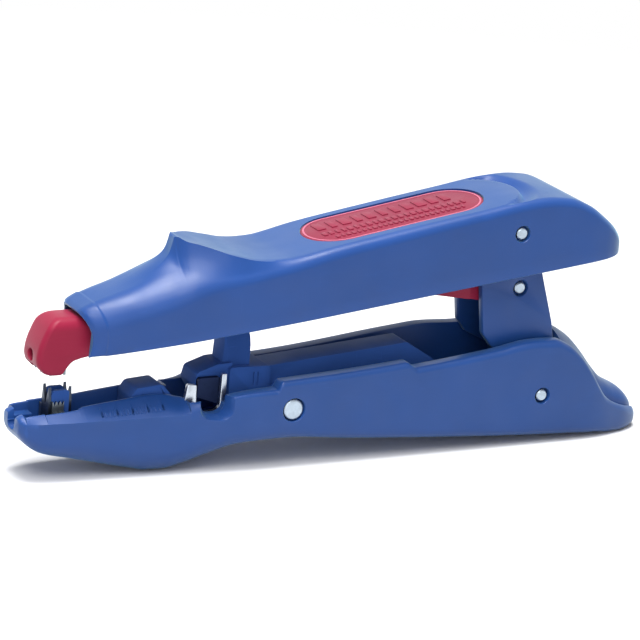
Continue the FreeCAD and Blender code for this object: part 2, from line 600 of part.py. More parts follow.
def make_cutting_lever():
    """Lever on the large pin: a toe with the cutter, a block, an arm into the handle and a rear bar."""
    rear = [(-24.0, 13.2, 0), (-8.0, 10.4, 4), (-6.0, 15.0, 6), (27.2, 19.4, 1.0), (26.8, 22.2, 1.0),
            (18.8, 27.2, 1.2), (-10.0, 24.8, 6), (-20.0, 24.0, 0), (-24.0, 24.0, 0)]
    bar = side_plate(rear, -LEVER_HALF, LEVER_HALF)
    block = side_plate([(-31.0, 17.4, 1.5), (-27.0, 13.5, 3), (-19.8, 12.5, 3), (-19.6, 24.3, 1.0),
                        (-31.0, 24.6, 0.8)], -BLOCK_HALF, BLOCK_HALF)
    hub = cross_rod(LEVER_PIVOT, HUB, -LEVER_HALF - 1.0, LEVER_HALF + 1.0)
    toe = [(-30.0, 16.4, 0), (-38.4, 17.4, 1.0), (-40.2, 20.4, 1.2), (-39.4, 23.6, 1.4), (-34.0, 25.4, 1.6),
           (-30.0, 25.6, 0)]
    front = side_plate(toe, CUTTER_BLADE_Y[1], LEVER_HALF)
    head = ROLLER_REST
    arm = [(-24.8, 21.0, 0), (-24.8, 32.0, 10), (head[0] + 3.4, head[1] + 2.0, 3.0),
           (head[0] + 0.4, head[1] + 3.6, 3.0), (head[0] - 3.6, head[1] + 0.4, 3.0), (-31.8, 33.0, 8), (-32.6, 21.0, 0)]
    upright = side_plate(arm, -ARM_HALF, ARM_HALF)
    lever = fuse_all(bar, block, hub, front, upright)
    # Two marks on the block's side and the groove behind it
    for x in (-24.6, -23.4):
        lever = lever.cut(box(x, x + 0.4, -BLOCK_HALF - 1, -BLOCK_HALF + 0.3, 19.5, 23.0))
    # Pocket of the return spring
    lever = lever.cut(Part.makeCylinder(3.0, SPRING_TOP - 9.0, V(SPRING_X, 0, 9.0)))
    lever = lever.cut(cross_rod(LEVER_PIVOT, LARGE_PIN + RUN, -20, 20))
    lever = lever.cut(cross_rod(ROLLER_REST, ROLLER_PIN + PRESS, -20, 20))
    return one_solid(lever.removeSplitter())


def make_cutter_blade():
    """Steel blade on the toe's side, with a slanted edge that passes the anvil."""
    outline = [(-39.8, 17.8, 0), (-34.2, 15.8, 0), (-33.6, 22.6, 0.6), (-39.6, 22.6, 0.8)]
    return side_plate(outline, *CUTTER_BLADE_Y)


def make_length_stop():
    """Sliding stop in the channel: a block with two tongues and a thumb hump."""
    x0, x1 = STOP_X
    outline = [(x0, CHANNEL_FLOOR + SLIP, 0), (x1, CHANNEL_FLOOR + SLIP, 0), (x1, 18.0, 1.0), (-48.6, 21.4, 1.6),
               (-55.4, 20.9, 1.6), (x0, 18.6, 1.0)]
    half = CHANNEL_HALF - SLIP
    block = side_plate(outline, -half, half)
    tongue = box(x0, x1, -half - TONGUE, half + TONGUE, *TONGUE_Z)
    return one_solid(block.fuse(tongue).removeSplitter())


def coil(radius, wire, turns, x, base, top):
    """Round wire spring that stands between two heights, swept along a helix."""
    pitch = (top - base - 2 * wire) / turns
    helix = Part.makeHelix(pitch, pitch * turns, radius)
    around = [V(radius + wire * math.cos(a), 0, wire * math.sin(a)) for a in
              [math.radians(60 * i) for i in range(7)]]
    profile = Part.makePolygon(around)
    spring = Part.Wire(helix).makePipeShell([profile], True, True)
    spring.translate(V(x, 0, base + wire))
    return spring


def make_return_spring():
    return coil(2.3, 0.35, 3.5, SPRING_X, SPRING_SEAT, SPRING_TOP)


def make_jaw_spring():
    return coil(2.2, 0.3, 2, JAW_SPRING[0], JAW_SPRING[1], JAW_SPRING_TOP)


def make_roller():
    ring = cross_rod(ROLLER_REST, ROLLER, RIB_IN, RIB_OUT)
    return ring.cut(cross_rod(ROLLER_REST, ROLLER_PIN + RUN, RIB_IN - 1, RIB_OUT + 1))


save("lower_body", make_lower_body())
save("handle_cover", make_handle_cover())
save("label_plate", make_label_plate())
save("rear_post", make_rear_post())
save("jaw_lever", make_jaw_lever())
punch = make_crimp_punch()
save("crimp_punches", Part.makeCompound([punch, mirror_y(punch)]))
save("upper_blade", make_upper_blade())
save("front_blade", lower_blade(FRONT_BLADE_X))
save("rear_blade", lower_blade(REAR_BLADE_X))
save("blade_holder", make_blade_holder())
save("crimp_die", make_crimp_die())
save("cutter_anvil", make_cutter_anvil())
save("cutting_lever", make_cutting_lever())
save("cutter_blade", make_cutter_blade())
save("length_stop", make_length_stop())
save("return_spring", make_return_spring())
save("jaw_spring", make_jaw_spring())
roller = make_roller()
save("lever_rollers", Part.makeCompound([roller, mirror_y(roller)]))
save("roller_pin", cross_rod(ROLLER_REST, ROLLER_PIN, -RIB_OUT, RIB_OUT))
save("handle_pin", pin(HANDLE_PIVOT, SMALL_PIN, HANDLE_HALF))
save("jaw_pin", pin(JAW_PIVOT, SMALL_PIN, POST_HALF))
save("post_pin", pin(POST_FOOT, SMALL_PIN, BODY_HALF))
save("lever_pin", pin(LEVER_PIVOT, LARGE_PIN, BODY_HALF))
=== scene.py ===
"""Looks of a stapler-like hand tool that strips, crimps and cuts wire.

Every place is given in millimetres from the maker's datum, which lies under the tool a little in front of
the frame's origin: X runs along the tool to its tail, Y across it and Z up. place() puts such a place in
the frame's metres. The handle is shown at rest, fully open.
"""
import bisect
import logging
import math
from dataclasses import dataclass, field
from enum import Enum
from typing import Sequence

import bmesh
import bpy
from mathutils import Matrix, Vector


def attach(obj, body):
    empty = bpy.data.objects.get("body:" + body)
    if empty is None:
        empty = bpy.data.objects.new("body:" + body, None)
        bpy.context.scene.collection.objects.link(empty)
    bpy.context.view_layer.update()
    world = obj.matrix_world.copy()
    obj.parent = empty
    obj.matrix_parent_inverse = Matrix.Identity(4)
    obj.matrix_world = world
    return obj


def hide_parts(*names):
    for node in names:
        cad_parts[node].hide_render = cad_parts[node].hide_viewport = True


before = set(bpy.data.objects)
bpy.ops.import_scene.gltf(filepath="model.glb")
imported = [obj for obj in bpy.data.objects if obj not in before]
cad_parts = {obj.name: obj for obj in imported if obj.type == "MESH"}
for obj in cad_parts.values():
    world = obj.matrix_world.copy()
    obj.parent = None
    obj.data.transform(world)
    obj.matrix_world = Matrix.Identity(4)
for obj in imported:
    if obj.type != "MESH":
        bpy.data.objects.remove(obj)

log = logging.getLogger("wire_tool")

MM = 0.001
DATUM_X = -0.9
MERGE_WITHIN = 2e-7
THINNEST = 1e-7
Flat = tuple[float, float]
Spot = tuple[float, float, float]
Corner = tuple[float, float, float]
Ring = list[Spot]
Colour = tuple[float, float, float, float]
Piece = bpy.types.Object
Material = bpy.types.Material
Socket = bpy.types.NodeSocket

# Sizes that several pieces share
BODY_HALF = 13.0
HANDLE_HALF = 14.0
POST_HALF = 7.7
HANDLE_PIVOT = (43.9, 56.9)
JAW_PIVOT = (48.5, 40.5)
POST_FOOT = (54.7, 12.9)
LEVER_PIVOT = (-16.5, 15.0)
SMALL_PIN = 1.5
LARGE_PIN = 2.6
PIN_PLAY = 0.05
NOSE_SLOT_HALF = 3.4
LABEL_FRONT = (-10.9, 55.9)
LABEL_REAR = (38.3, 64.0)
LABEL_WIDTH = 19.0
LABEL_LENGTH = math.dist(LABEL_FRONT, LABEL_REAR)
LABEL_TILT = math.atan2(LABEL_REAR[1] - LABEL_FRONT[1], LABEL_REAR[0] - LABEL_FRONT[0])

# Largest angle in degrees that still shades smoothly
PLATE_SMOOTH = 32.0
SHELL_SMOOTH = 38.0


class Joining(Enum):
    """How one mesh is worked with another."""

    CUT = "DIFFERENCE"
    ADD = "UNION"
    KEEP = "INTERSECT"


def place(x: float, y: float, z: float) -> Spot:
    """Put a place from the maker's datum into the frame's metres.

    Args:
        x: Place along the tool.
        y: Place across it.
        z: Height.

    Returns:
        The place in the frame.
    """
    return ((x + DATUM_X) * MM, y * MM, z * MM)


class Curve:
    """Smooth line through given values that never swings past them."""

    def __init__(self, places: Sequence[float], values: Sequence[float]) -> None:
        """Work out the slope at each place.

        Args:
            places: Rising places along the tool.
            values: The value at each place.
        """
        self.places = list(places)
        self.values = list(values)
        steps = [b - a for a, b in zip(places, places[1:])]
        rises = [(b - a) / s for a, b, s in zip(values, values[1:], steps)]
        slopes = [rises[0]]
        for i in range(1, len(rises)):
            before, after = rises[i - 1], rises[i]
            if before * after <= 0:
                slopes.append(0.0)
            else:
                wide, near = 2 * steps[i] + steps[i - 1], steps[i] + 2 * steps[i - 1]
                slopes.append((wide + near) / (wide / before + near / after))
        self.slopes = slopes + [rises[-1]]

    def __call__(self, x: float) -> float:
        """Value at a place, held at the ends.

        Args:
            x: Place along the tool.

        Returns:
            The value there.
        """
        if x <= self.places[0]:
            return self.values[0]
        if x >= self.places[-1]:
            return self.values[-1]
        i = bisect.bisect_right(self.places, x) - 1
        step = self.places[i + 1] - self.places[i]
        t = (x - self.places[i]) / step
        return ((1 + 2 * t) * (1 - t) ** 2 * self.values[i] + t * (1 - t) ** 2 * step * self.slopes[i]
                + t * t * (3 - 2 * t) * self.values[i + 1] + t * t * (t - 1) * step * self.slopes[i + 1])


def curves(stations: Sequence[Sequence[float]]) -> list[Curve]:
    """One smooth line for each column of a table of stations, whose first column is the place."""
    columns = list(zip(*stations))
    return [Curve(columns[0], column) for column in columns[1:]]


def spaced(start: float, step: float, count: int) -> list[float]:
    """Evenly spaced places."""
    return [start + step * i for i in range(count)]


def ease(x: float, start: float, end: float) -> float:
    """Soft step from 0 to 1.

    Args:
        x: Place to ask at.
        start: Where the step begins.
        end: Where it is done.

    Returns:
        The share of the step.
    """
    t = min(max((x - start) / (end - start), 0.0), 1.0)
    return t * t * (3 - 2 * t)


def arc(centre: Flat, radius: float, start: float, end: float, steps: int) -> list[Flat]:
    """Points on an arc, with angles in degrees from the first axis.

    Args:
        centre: Centre of the arc.
        radius: Its radius.
        start: Angle where it starts, in degrees.
        end: Angle where it ends.
        steps: Number of runs.

    Returns:
        Its points, one more than its runs.
    """
    angles = [math.radians(start + (end - start) * i / steps) for i in range(steps + 1)]
    return [(centre[0] + radius * math.cos(a), centre[1] + radius * math.sin(a)) for a in angles]


def rounded(corners: Sequence[Corner], steps: int = 8) -> list[Flat]:
    """Closed outline with each corner rounded by its own radius.

    Args:
        corners: Corners as (u, v, radius).
        steps: Number of runs in a quarter turn.

    Returns:
        The outline's points in order.
    """
    points: list[Flat] = []
    for i, (u, v, radius) in enumerate(corners):
        here = Vector((u, v))
        back = (Vector(corners[i - 1][:2]) - here).normalized()
        on = (Vector(corners[(i + 1) % len(corners)][:2]) - here).normalized()
        if radius <= 0:
            points.append((u, v))
            continue
        half = back.angle(on) / 2
        centre = here + (back + on).normalized() * (radius / math.sin(half))
        first = here + back * (radius / math.tan(half)) - centre
        last = here + on * (radius / math.tan(half)) - centre
        turn = math.atan2(first.x * last.y - first.y * last.x, first.dot(last))
        count = max(2, round(steps * abs(turn) / (math.pi / 2)))
        for k in range(count + 1):
            turned = Matrix.Rotation(turn * k / count, 2) @ first
            points.append((centre.x + turned.x, centre.y + turned.y))
    return points


def in_scene(name: str, data: bpy.types.ID) -> Piece:
    """Put data in the scene as a new object.

    Args:
        name: Name of the object.
        data: Its mesh, lamp or camera.

    Returns:
        The new object.
    """
    piece = bpy.data.objects.new(name, data)
    bpy.context.scene.collection.objects.link(piece)
    return piece


def tidy(mesh: bpy.types.Mesh, smooth_below: float = PLATE_SMOOTH) -> None:
    """Merge doubles, turn the faces outward and mark the edges sharper than an angle.

    Args:
        mesh: Mesh to clean.
        smooth_below: Largest angle in degrees that still shades smoothly.
    """
    work = bmesh.new()
    work.from_mesh(mesh)
    bmesh.ops.remove_doubles(work, verts=work.verts, dist=MERGE_WITHIN)
    bmesh.ops.dissolve_degenerate(work, edges=work.edges, dist=THINNEST)
    bmesh.ops.recalc_face_normals(work, faces=work.faces)
    work.to_mesh(mesh)
    work.free()
    mesh.polygons.foreach_set("use_smooth", [True] * len(mesh.polygons))
    mesh.set_sharp_from_angle(angle=math.radians(smooth_below))
    mesh.update()


def evaluated(piece: Piece) -> bpy.types.Mesh:
    """Mesh of a piece with its modifiers applied.

    Args:
        piece: Object whose modifiers count.

    Returns:
        A new mesh.
    """
    graph = bpy.context.evaluated_depsgraph_get()
    graph.update()
    return bpy.data.meshes.new_from_object(piece.evaluated_get(graph), depsgraph=graph)


def take_modifiers(piece: Piece) -> None:
    """Replace a piece's mesh by the one that its modifiers give, and drop them.

    Args:
        piece: Object to change.
    """
    mesh, old = evaluated(piece), piece.data
    piece.modifiers.clear()
    piece.data = mesh
    mesh.name = piece.name
    if old.users == 0:
        bpy.data.meshes.remove(old)


def discard(piece: Piece) -> None:
    """Remove a helper object with its mesh.

    Args:
        piece: Object that is no longer needed.
    """
    data = piece.data
    bpy.data.objects.remove(piece, do_unlink=True)
    if data.users == 0:
        bpy.data.meshes.remove(data)


def work_with(piece: Piece, joining: Joining, *tools: Piece, smooth_below: float = PLATE_SMOOTH) -> Piece:
    """Cut a piece by other meshes, or add them to it, and discard them.

    Args:
        piece: Object to change.
        joining: How it is worked.
        tools: Meshes to work it with, in order.
        smooth_below: Largest angle that still shades smoothly.

    Returns:
        The same piece.
    """
    for tool in tools:
        modifier = piece.modifiers.new(joining.name, "BOOLEAN")
        modifier.operation = joining.value
        modifier.solver = "EXACT"
        modifier.object = tool
        take_modifiers(piece)
        discard(tool)
    tidy(piece.data, smooth_below)
    return piece


def soften(piece: Piece, width: float, angle: float = 35.0, smooth_below: float = 50.0) -> Piece:
    """Round a piece's sharp edges by a width in millimetres.

    Args:
        piece: Object to change.
        width: Width of the rounding in millimetres.
        angle: Smallest angle in degrees that is rounded.
        smooth_below: Largest angle that still shades smoothly.

    Returns:
        The same piece.
    """
    modifier = piece.modifiers.new("Soft edges", "BEVEL")
    modifier.width = width * MM
    modifier.segments = 2
    modifier.limit_method = "ANGLE"
    modifier.angle_limit = math.radians(angle)
    take_modifiers(piece)
    tidy(piece.data, smooth_below)
    return piece


def mesh_piece(name: str, spots: Sequence[Spot], faces: Sequence[tuple[int, ...]],
               smooth_below: float = PLATE_SMOOTH) -> Piece:
    """Make a mesh object from places in millimetres, cleaned and with its faces outward.

    Args:
        name: Name of the piece.
        spots: Its places, in millimetres.
        faces: Places of each face, by their numbers.
        smooth_below: Largest angle that still shades smoothly.

    Returns:
        The new object.
    """
    mesh = bpy.data.meshes.new(name)
    mesh.from_pydata([place(*spot) for spot in spots], [], faces)
    tidy(mesh, smooth_below)
    return in_scene(name, mesh)


def loft(name: str, rings: Sequence[Ring], smooth_below: float = PLATE_SMOOTH) -> Piece:
    """Skin through closed rings of equally many points, closed at both ends.

    Args:
        name: Name of the piece.
        rings: Rings of places in millimetres.
        smooth_below: Largest angle that still shades smoothly.

    Returns:
        The closed piece.
    """
    count = len(rings[0])
    if any(len(ring) != count for ring in rings):
        raise ValueError(f"{name}: the rings differ in their number of points")
    faces: list[tuple[int, ...]] = []
    for low in range(0, (len(rings) - 1) * count, count):
        high = low + count
        faces += [(low + i, low + (i + 1) % count, high + (i + 1) % count, high + i) for i in range(count)]
    last = (len(rings) - 1) * count
    faces += [tuple(range(count))[::-1], tuple(range(last, last + count))]
    return mesh_piece(name, [spot for ring in rings for spot in ring], faces, smooth_below)


def side_plate(name: str, corners: Sequence[Corner], y0: float, y1: float) -> Piece:
    """Plate with a rounded outline in the X and Z plane.

    Args:
        name: Name of the piece.
        corners: Outline in the X and Z plane, as (x, z, radius).
        y0: Place of its near face.
        y1: Place of its far face.

    Returns:
        The closed piece.
    """
    outline = rounded(corners)
    count = len(outline)
    faces = [tuple(range(count)), tuple(range(2 * count - 1, count - 1, -1))]
    faces += [(i, (i + 1) % count, (i + 1) % count + count, i + count) for i in range(count)]
    return mesh_piece(name, [(u, y, v) for y in (y0, y1) for u, v in outline], faces)


def block(name: str, x0: float, x1: float, y0: float, y1: float, z0: float, z1: float) -> Piece:
    """Squared cutter or filler between three pairs of places."""
    return side_plate(name, [(x0, z0, 0), (x1, z0, 0), (x1, z1, 0), (x0, z1, 0)], y0, y1)


def rod(name: str, centre: Flat, profile: Sequence[Flat], steps: int = 48) -> Piece:
    """Turned piece on an axis across the tool.

    Args:
        name: Name of the piece.
        centre: Place of the axis in the X and Z plane.
        profile: (place across, radius) from one end to the other.
        steps: Number of faces round the axis.

    Returns:
        The closed piece.
    """
    x, z = centre
    turns = [2 * math.pi * i / steps for i in range(steps)]
    return loft(name, [[(x + radius * math.cos(a), y, z + radius * math.sin(a)) for a in turns]
                       for y, radius in profile])


def both_sides(name: str, centre: Flat, profile: Sequence[Flat]) -> list[Piece]:
    """A turned piece on each side of the tool, from a profile of (place outward, radius)."""
    return [rod(name, centre, [(side * y, radius) for y, radius in profile]) for side in (-1, 1)]


def pin_bore(centre: Flat, radius: float) -> Piece:
    """Cutter of a pin's bore right across the tool."""
    return rod("bore", centre, [(y, radius + PIN_PLAY) for y in (-20, 20)])


def pieces_joined(name: str, parts: Sequence[Piece], smooth_below: float = 40.0) -> Piece:
    """Put the meshes of several separate solids into one object.

    Args:
        name: Name of the whole.
        parts: Objects to join, which are then gone.
        smooth_below: Largest angle that still shades smoothly.

    Returns:
        The new object.
    """
    work = bmesh.new()
    for part in parts:
        work.from_mesh(part.data)
        discard(part)
    mesh = bpy.data.meshes.new(name)
    work.to_mesh(mesh)
    work.free()
    tidy(mesh, smooth_below)
    return in_scene(name, mesh)


@dataclass(frozen=True)
class Row:
    """Row of equal or randomly long bars, made by geometry nodes with named sizes.

    Places and sizes are in millimetres from the maker's datum.
    """

    name: str
    start: Spot
    step: Spot
    count: int
    bar: Spot
    turn: Spot = (0.0, 0.0, 0.0)
    shortest: float = 1.0
    seed: int = 3

    def nodes(self) -> bpy.types.NodeTree:
        """Build the tree: points on a line, a bar on each, realized and dressed.

        Returns:
            The tree, with an input for each size.
        """
        tree = bpy.data.node_groups.new(self.name + "_nodes", "GeometryNodeTree")
        inputs = {"Start": "Vector", "Step": "Vector", "Count": "Int", "Bar Size": "Vector",
                  "Turn": "Vector", "Shortest": "Float", "Seed": "Int", "Finish": "Material"}
        for label, kind in inputs.items():
            tree.interface.new_socket(name=label, in_out="INPUT", socket_type="NodeSocket" + kind)
        tree.interface.new_socket(name="Geometry", in_out="OUTPUT", socket_type="NodeSocketGeometry")
        given, out = tree.nodes.new("NodeGroupInput").outputs, tree.nodes.new("NodeGroupOutput")

        def add(kind: str, **links: Socket) -> bpy.types.Node:
            """Add a node with links to its inputs, named with _ for a space."""
            node = tree.nodes.new(kind)
            for key, socket in links.items():
                tree.links.new(socket, node.inputs[key.replace("_", " ")])
            return node

        line = add("GeometryNodeMeshLine", Count=given["Count"], Start_Location=given["Start"],
                   Offset=given["Step"])
        bar = add("GeometryNodeMeshCube", Size=given["Bar Size"])
        chance = tree.nodes.new("FunctionNodeRandomValue")
        chance.data_type = "FLOAT"
        floats = [socket for socket in chance.inputs if socket.type == "VALUE"]
        tree.links.new(given["Shortest"], floats[0])
        floats[1].default_value = 1.0
        tree.links.new(given["Seed"], chance.inputs["Seed"])
        scale = add("ShaderNodeCombineXYZ", X=next(o for o in chance.outputs if o.type == "VALUE"))
        scale.inputs["Y"].default_value = scale.inputs["Z"].default_value = 1.0
        turned = add("FunctionNodeEulerToRotation", Euler=given["Turn"])
        placed = add("GeometryNodeInstanceOnPoints", Points=line.outputs["Mesh"],
                     Instance=bar.outputs["Mesh"], Rotation=turned.outputs[0], Scale=scale.outputs[0])
        real = add("GeometryNodeRealizeInstances", Geometry=placed.outputs[0])
        dressed = add("GeometryNodeSetMaterial", Geometry=real.outputs[0], Material=given["Finish"])
        tree.links.new(dressed.outputs[0], out.inputs[0])
        return tree

    def build(self, finish: Material) -> Piece:
        """Make the row's plain mesh in a finish.

        Args:
            finish: Material of the bars.

        Returns:
            The plain piece, without a modifier.
        """
        piece = in_scene(self.name, bpy.data.meshes.new(self.name))
        modifier = piece.modifiers.new("Row", "NODES")
        modifier.node_group = self.nodes()
        values = {"Start": place(*self.start), "Step": [v * MM for v in self.step], "Count": self.count,
                  "Bar Size": [v * MM for v in self.bar], "Turn": self.turn, "Shortest": self.shortest,
                  "Seed": self.seed, "Finish": finish}
        for item in modifier.node_group.interface.items_tree:
            if item.in_out == "INPUT":
                modifier[item.identifier] = values[item.name]
        take_modifiers(piece)
        tidy(piece.data)
        return piece


# Finishes


class Tree:
    """Short forms for the node tree of one material."""

    def __init__(self, name: str) -> None:
        """Start a material with its usual shader."""
        self.material = bpy.data.materials.new(name)
        self.material.use_nodes = True
        self.nodes = self.material.node_tree.nodes
        self.links = self.material.node_tree.links
        self.shader = next(n for n in self.nodes if n.type == "BSDF_PRINCIPLED")
        self.place = self.add("ShaderNodeTexCoord").outputs["Object"]

    def fill(self, socket: Socket, value: object) -> None:
        """Link an input to another node's output, or set its value."""
        if isinstance(value, Socket):
            self.links.new(value, socket)
        else:
            socket.default_value = value

    def add(self, kind: str, **inputs: object) -> bpy.types.Node:
        """Add a node and set its inputs by name, with _ for a space.

        Args:
            kind: Kind of node.
            inputs: Value or socket for each input.

        Returns:
            The new node.
        """
        node = self.nodes.new(kind)
        for key, value in inputs.items():
            self.fill(node.inputs[key.replace("_", " ")], value)
        return node

    def stretched(self, scale: Spot, turn: float = 0.0) -> Socket:
        """Object place stretched along the axes, and turned about Y."""
        node = self.add("ShaderNodeMapping", Vector=self.place, Scale=scale, Rotation=(0.0, turn, 0.0))
        return node.outputs["Vector"]

    def noise(self, vector: Socket, scale: float, detail: float = 3.0, roughness: float = 0.5) -> Socket:
        """Smooth noise with a number of cells in a metre."""
        node = self.add("ShaderNodeTexNoise", Vector=vector, Scale=scale, Detail=detail, Roughness=roughness)
        return node.outputs["Fac"]

    def ranged(self, value: Socket, low: float, high: float, to_low: float, to_high: float) -> Socket:
        """Value from one range spread over another, held at its ends.

        Args:
            value: Socket to spread.
            low: Start of its range.
            high: End of its range.
            to_low: Result at the start.
            to_high: Result at the end.

        Returns:
            The result.
        """
        node = self.add("ShaderNodeMapRange", Value=value, From_Min=low, From_Max=high, To_Min=to_low,
                        To_Max=to_high)
        return node.outputs["Result"]

    def blend(self, share: Socket, first: object, second: object) -> Socket:
        """Mix of two colours.

        Args:
            share: Share of the second colour.
            first: Colour or socket.
            second: Colour or socket.

        Returns:
            The mixed colour.
        """
        node = self.nodes.new("ShaderNodeMix")
        node.data_type = "RGBA"
        for key, value in (("Factor", share), (6, first), (7, second)):
            self.fill(node.inputs[key], value)
        return node.outputs[2]

    def tinted(self, tone: object, colour: Colour, value: Socket, low: float, high: float,
               most: float = 1.0) -> Socket:
        """Tone that turns into a colour as a value crosses a range.

        Args:
            tone: Colour or socket to start from.
            colour: Colour to turn into.
            value: What decides between them.
            low: Value at which the tone is still whole.
            high: Value from which the colour has its full share.
            most: Full share of the colour.

        Returns:
            The mixed colour.
        """
        return self.blend(self.ranged(value, low, high, 0.0, most), tone, colour)

    def combined(self, first: Socket, second: object, kind: str) -> Socket:
        """Two values put together by a mathematical operation.

        Args:
            first: First value.
            second: Second value, a number or a socket.
            kind: Operation of the Math node.

        Returns:
            The result.
        """
        node = self.nodes.new("ShaderNodeMath")
        node.operation = kind
        for socket, value in zip(node.inputs, (first, second)):
            self.fill(socket, value)
        return node.outputs[0]

    def relief(self, height: Socket, depth: float, strength: float = 1.0) -> None:
        """Let a height from 0 to 1 raise the surface by a depth in millimetres."""
        bump = self.add("ShaderNodeBump", Height=height, Distance=depth * MM, Strength=strength)
        self.links.new(bump.outputs["Normal"], self.shader.inputs["Normal"])

    def wear(self, low: float, high: float) -> Socket:
        """Share of rubbing on outward edges."""
        shape = self.nodes.new("ShaderNodeNewGeometry")
        return self.ranged(shape.outputs["Pointiness"], low, high, 0.0, 1.0)

    def surface(self, **values: object) -> None:
        """Set or link inputs of the shader, by name with _ for a space."""
        for key, value in values.items():
            self.fill(self.shader.inputs[key.replace("_", " ")], value)


def paint(red: int, green: int, blue: int) -> Colour:
    """Linear colour from the usual 0 to 255 values.

    Args:
        red: Red part.
        green: Green part.
        blue: Blue part.

    Returns:
        The colour with full cover.
    """
    def line(value: int) -> float:
        """Linear share of one part."""
        share = value / 255
        return share / 12.92 if share <= 0.04045 else ((share + 0.055) / 1.055) ** 2.4

    return (line(red), line(green), line(blue), 1.0)


def shaded(colour: Colour, factor: float) -> Colour:
    """The same colour, lighter or darker."""
    red, green, blue = (min(part * factor, 1.0) for part in colour[:3])
    return (red, green, blue, 1.0)


@dataclass(frozen=True)
class MouldedPlastic:
    """Satin moulded plastic with a fine grain, faint flow marks and handling scratches."""

    name: str
    colour: Colour
    roughness: float
    grain: float = 0.012
    scratches: float = 0.25
    rubbed: float = 0.25
    bloom: Colour = (0.5, 0.85, 1.0, 1.0)
    gloss: float = 0.16
    haze: float = 0.25

    def material(self) -> Material:
        """Build the material's nodes.

        Returns:
            The new material.
        """
        tree = Tree(self.name)
        broad = tree.noise(tree.place, 60.0, 2.0)
        flow = tree.noise(tree.stretched((0.25, 1.0, 1.0)), 420.0, 4.0, 0.6)
        tone = tree.tinted(shaded(self.colour, 0.93), shaded(self.colour, 1.06), broad, 0.3, 0.7)
        tone = tree.tinted(tone, shaded(self.colour, 1.3), flow, 0.55, 0.75, 0.18)
        line_a = tree.noise(tree.stretched((60.0, 900.0, 900.0), 0.5), 3.2, 2.0, 0.6)
        line_b = tree.noise(tree.stretched((1100.0, 700.0, 45.0), -0.35), 2.6, 2.0, 0.6)
        lines = tree.combined(tree.ranged(line_a, 0.66, 0.74, 0.0, 1.0),
                              tree.ranged(line_b, 0.67, 0.74, 0.0, 1.0), "MAXIMUM")
        tone = tree.tinted(tone, shaded(self.colour, 1.9), lines, 0.0, 1.0, 0.35 * self.scratches)
        tone = tree.tinted(tone, shaded(self.colour, 1.6), tree.wear(0.53, 0.62), 0.0, 1.0, self.rubbed)
        polish = tree.ranged(tree.noise(tree.place, 140.0), 0.3, 0.7,
                             self.roughness - 0.05, self.roughness + 0.06)
        tree.surface(Base_Color=tone, Roughness=polish, Specular_IOR_Level=self.gloss,
                     Sheen_Weight=self.haze, Sheen_Roughness=0.45, Sheen_Tint=self.bloom)
        pebbles = tree.ranged(tree.noise(tree.place, 4200.0, 2.0, 0.6), 0.0, 1.0, 0.0, 1.0)
        scored = tree.ranged(lines, 0.0, 1.0, 0.0, 0.6 * self.scratches)
        tree.relief(tree.combined(pebbles, scored, "SUBTRACT"), self.grain)
        return tree.material


# Stretch of the noise that leaves grinding lines across the tool
ALONG_WHEEL = (1.0, 0.03, 1.0)


@dataclass(frozen=True)
class WorkedSteel:
    """Bright steel with the lines of the wheel or lathe that finished it."""

    name: str
    colour: Colour
    roughness: float
    lines: Spot
    depth: float = 0.004
    dirt: float = 0.25

    def material(self) -> Material:
        """Build the material's nodes.

        Returns:
            The new material.
        """
        tree = Tree(self.name)
        fine = tree.noise(tree.stretched(self.lines), 9000.0, 4.0, 0.7)
        cloud = tree.noise(tree.place, 700.0, 4.0, 0.6)
        tone = tree.tinted(shaded(self.colour, 0.82), shaded(self.colour, 1.12), fine, 0.3, 0.7)
        tone = tree.tinted(tone, shaded(self.colour, 0.35), cloud, 0.52, 0.72, self.dirt)
        tree.surface(Base_Color=tone, Metallic=1.0,
                     Roughness=tree.ranged(fine, 0.25, 0.75, self.roughness - 0.06, self.roughness + 0.12))
        tree.relief(fine, self.depth)
        return tree.material


@dataclass(frozen=True)
class TurnedSteel:
    """Pin steel whose faces show the rings of the lathe, read from the mesh's own radius."""

    name: str
    colour: Colour
    roughness: float
    pitch: float = 0.14

    def material(self) -> Material:
        """Build the material's nodes.

        Returns:
            The new material.
        """
        tree = Tree(self.name)
        radius = tree.nodes.new("ShaderNodeAttribute")
        radius.attribute_name = "radius"
        rings = tree.combined(radius.outputs["Fac"], self.pitch, "PINGPONG")
        cloud = tree.noise(tree.place, 900.0)
        tone = tree.tinted(shaded(self.colour, 0.86), shaded(self.colour, 1.08), cloud, 0.35, 0.7)
        tree.surface(Base_Color=tone, Metallic=0.85,
                     Roughness=tree.ranged(cloud, 0.3, 0.7, self.roughness, self.roughness + 0.14))
        tree.relief(tree.ranged(rings, 0.0, self.pitch, 0.0, 1.0), 0.01, 0.6)
        return tree.material


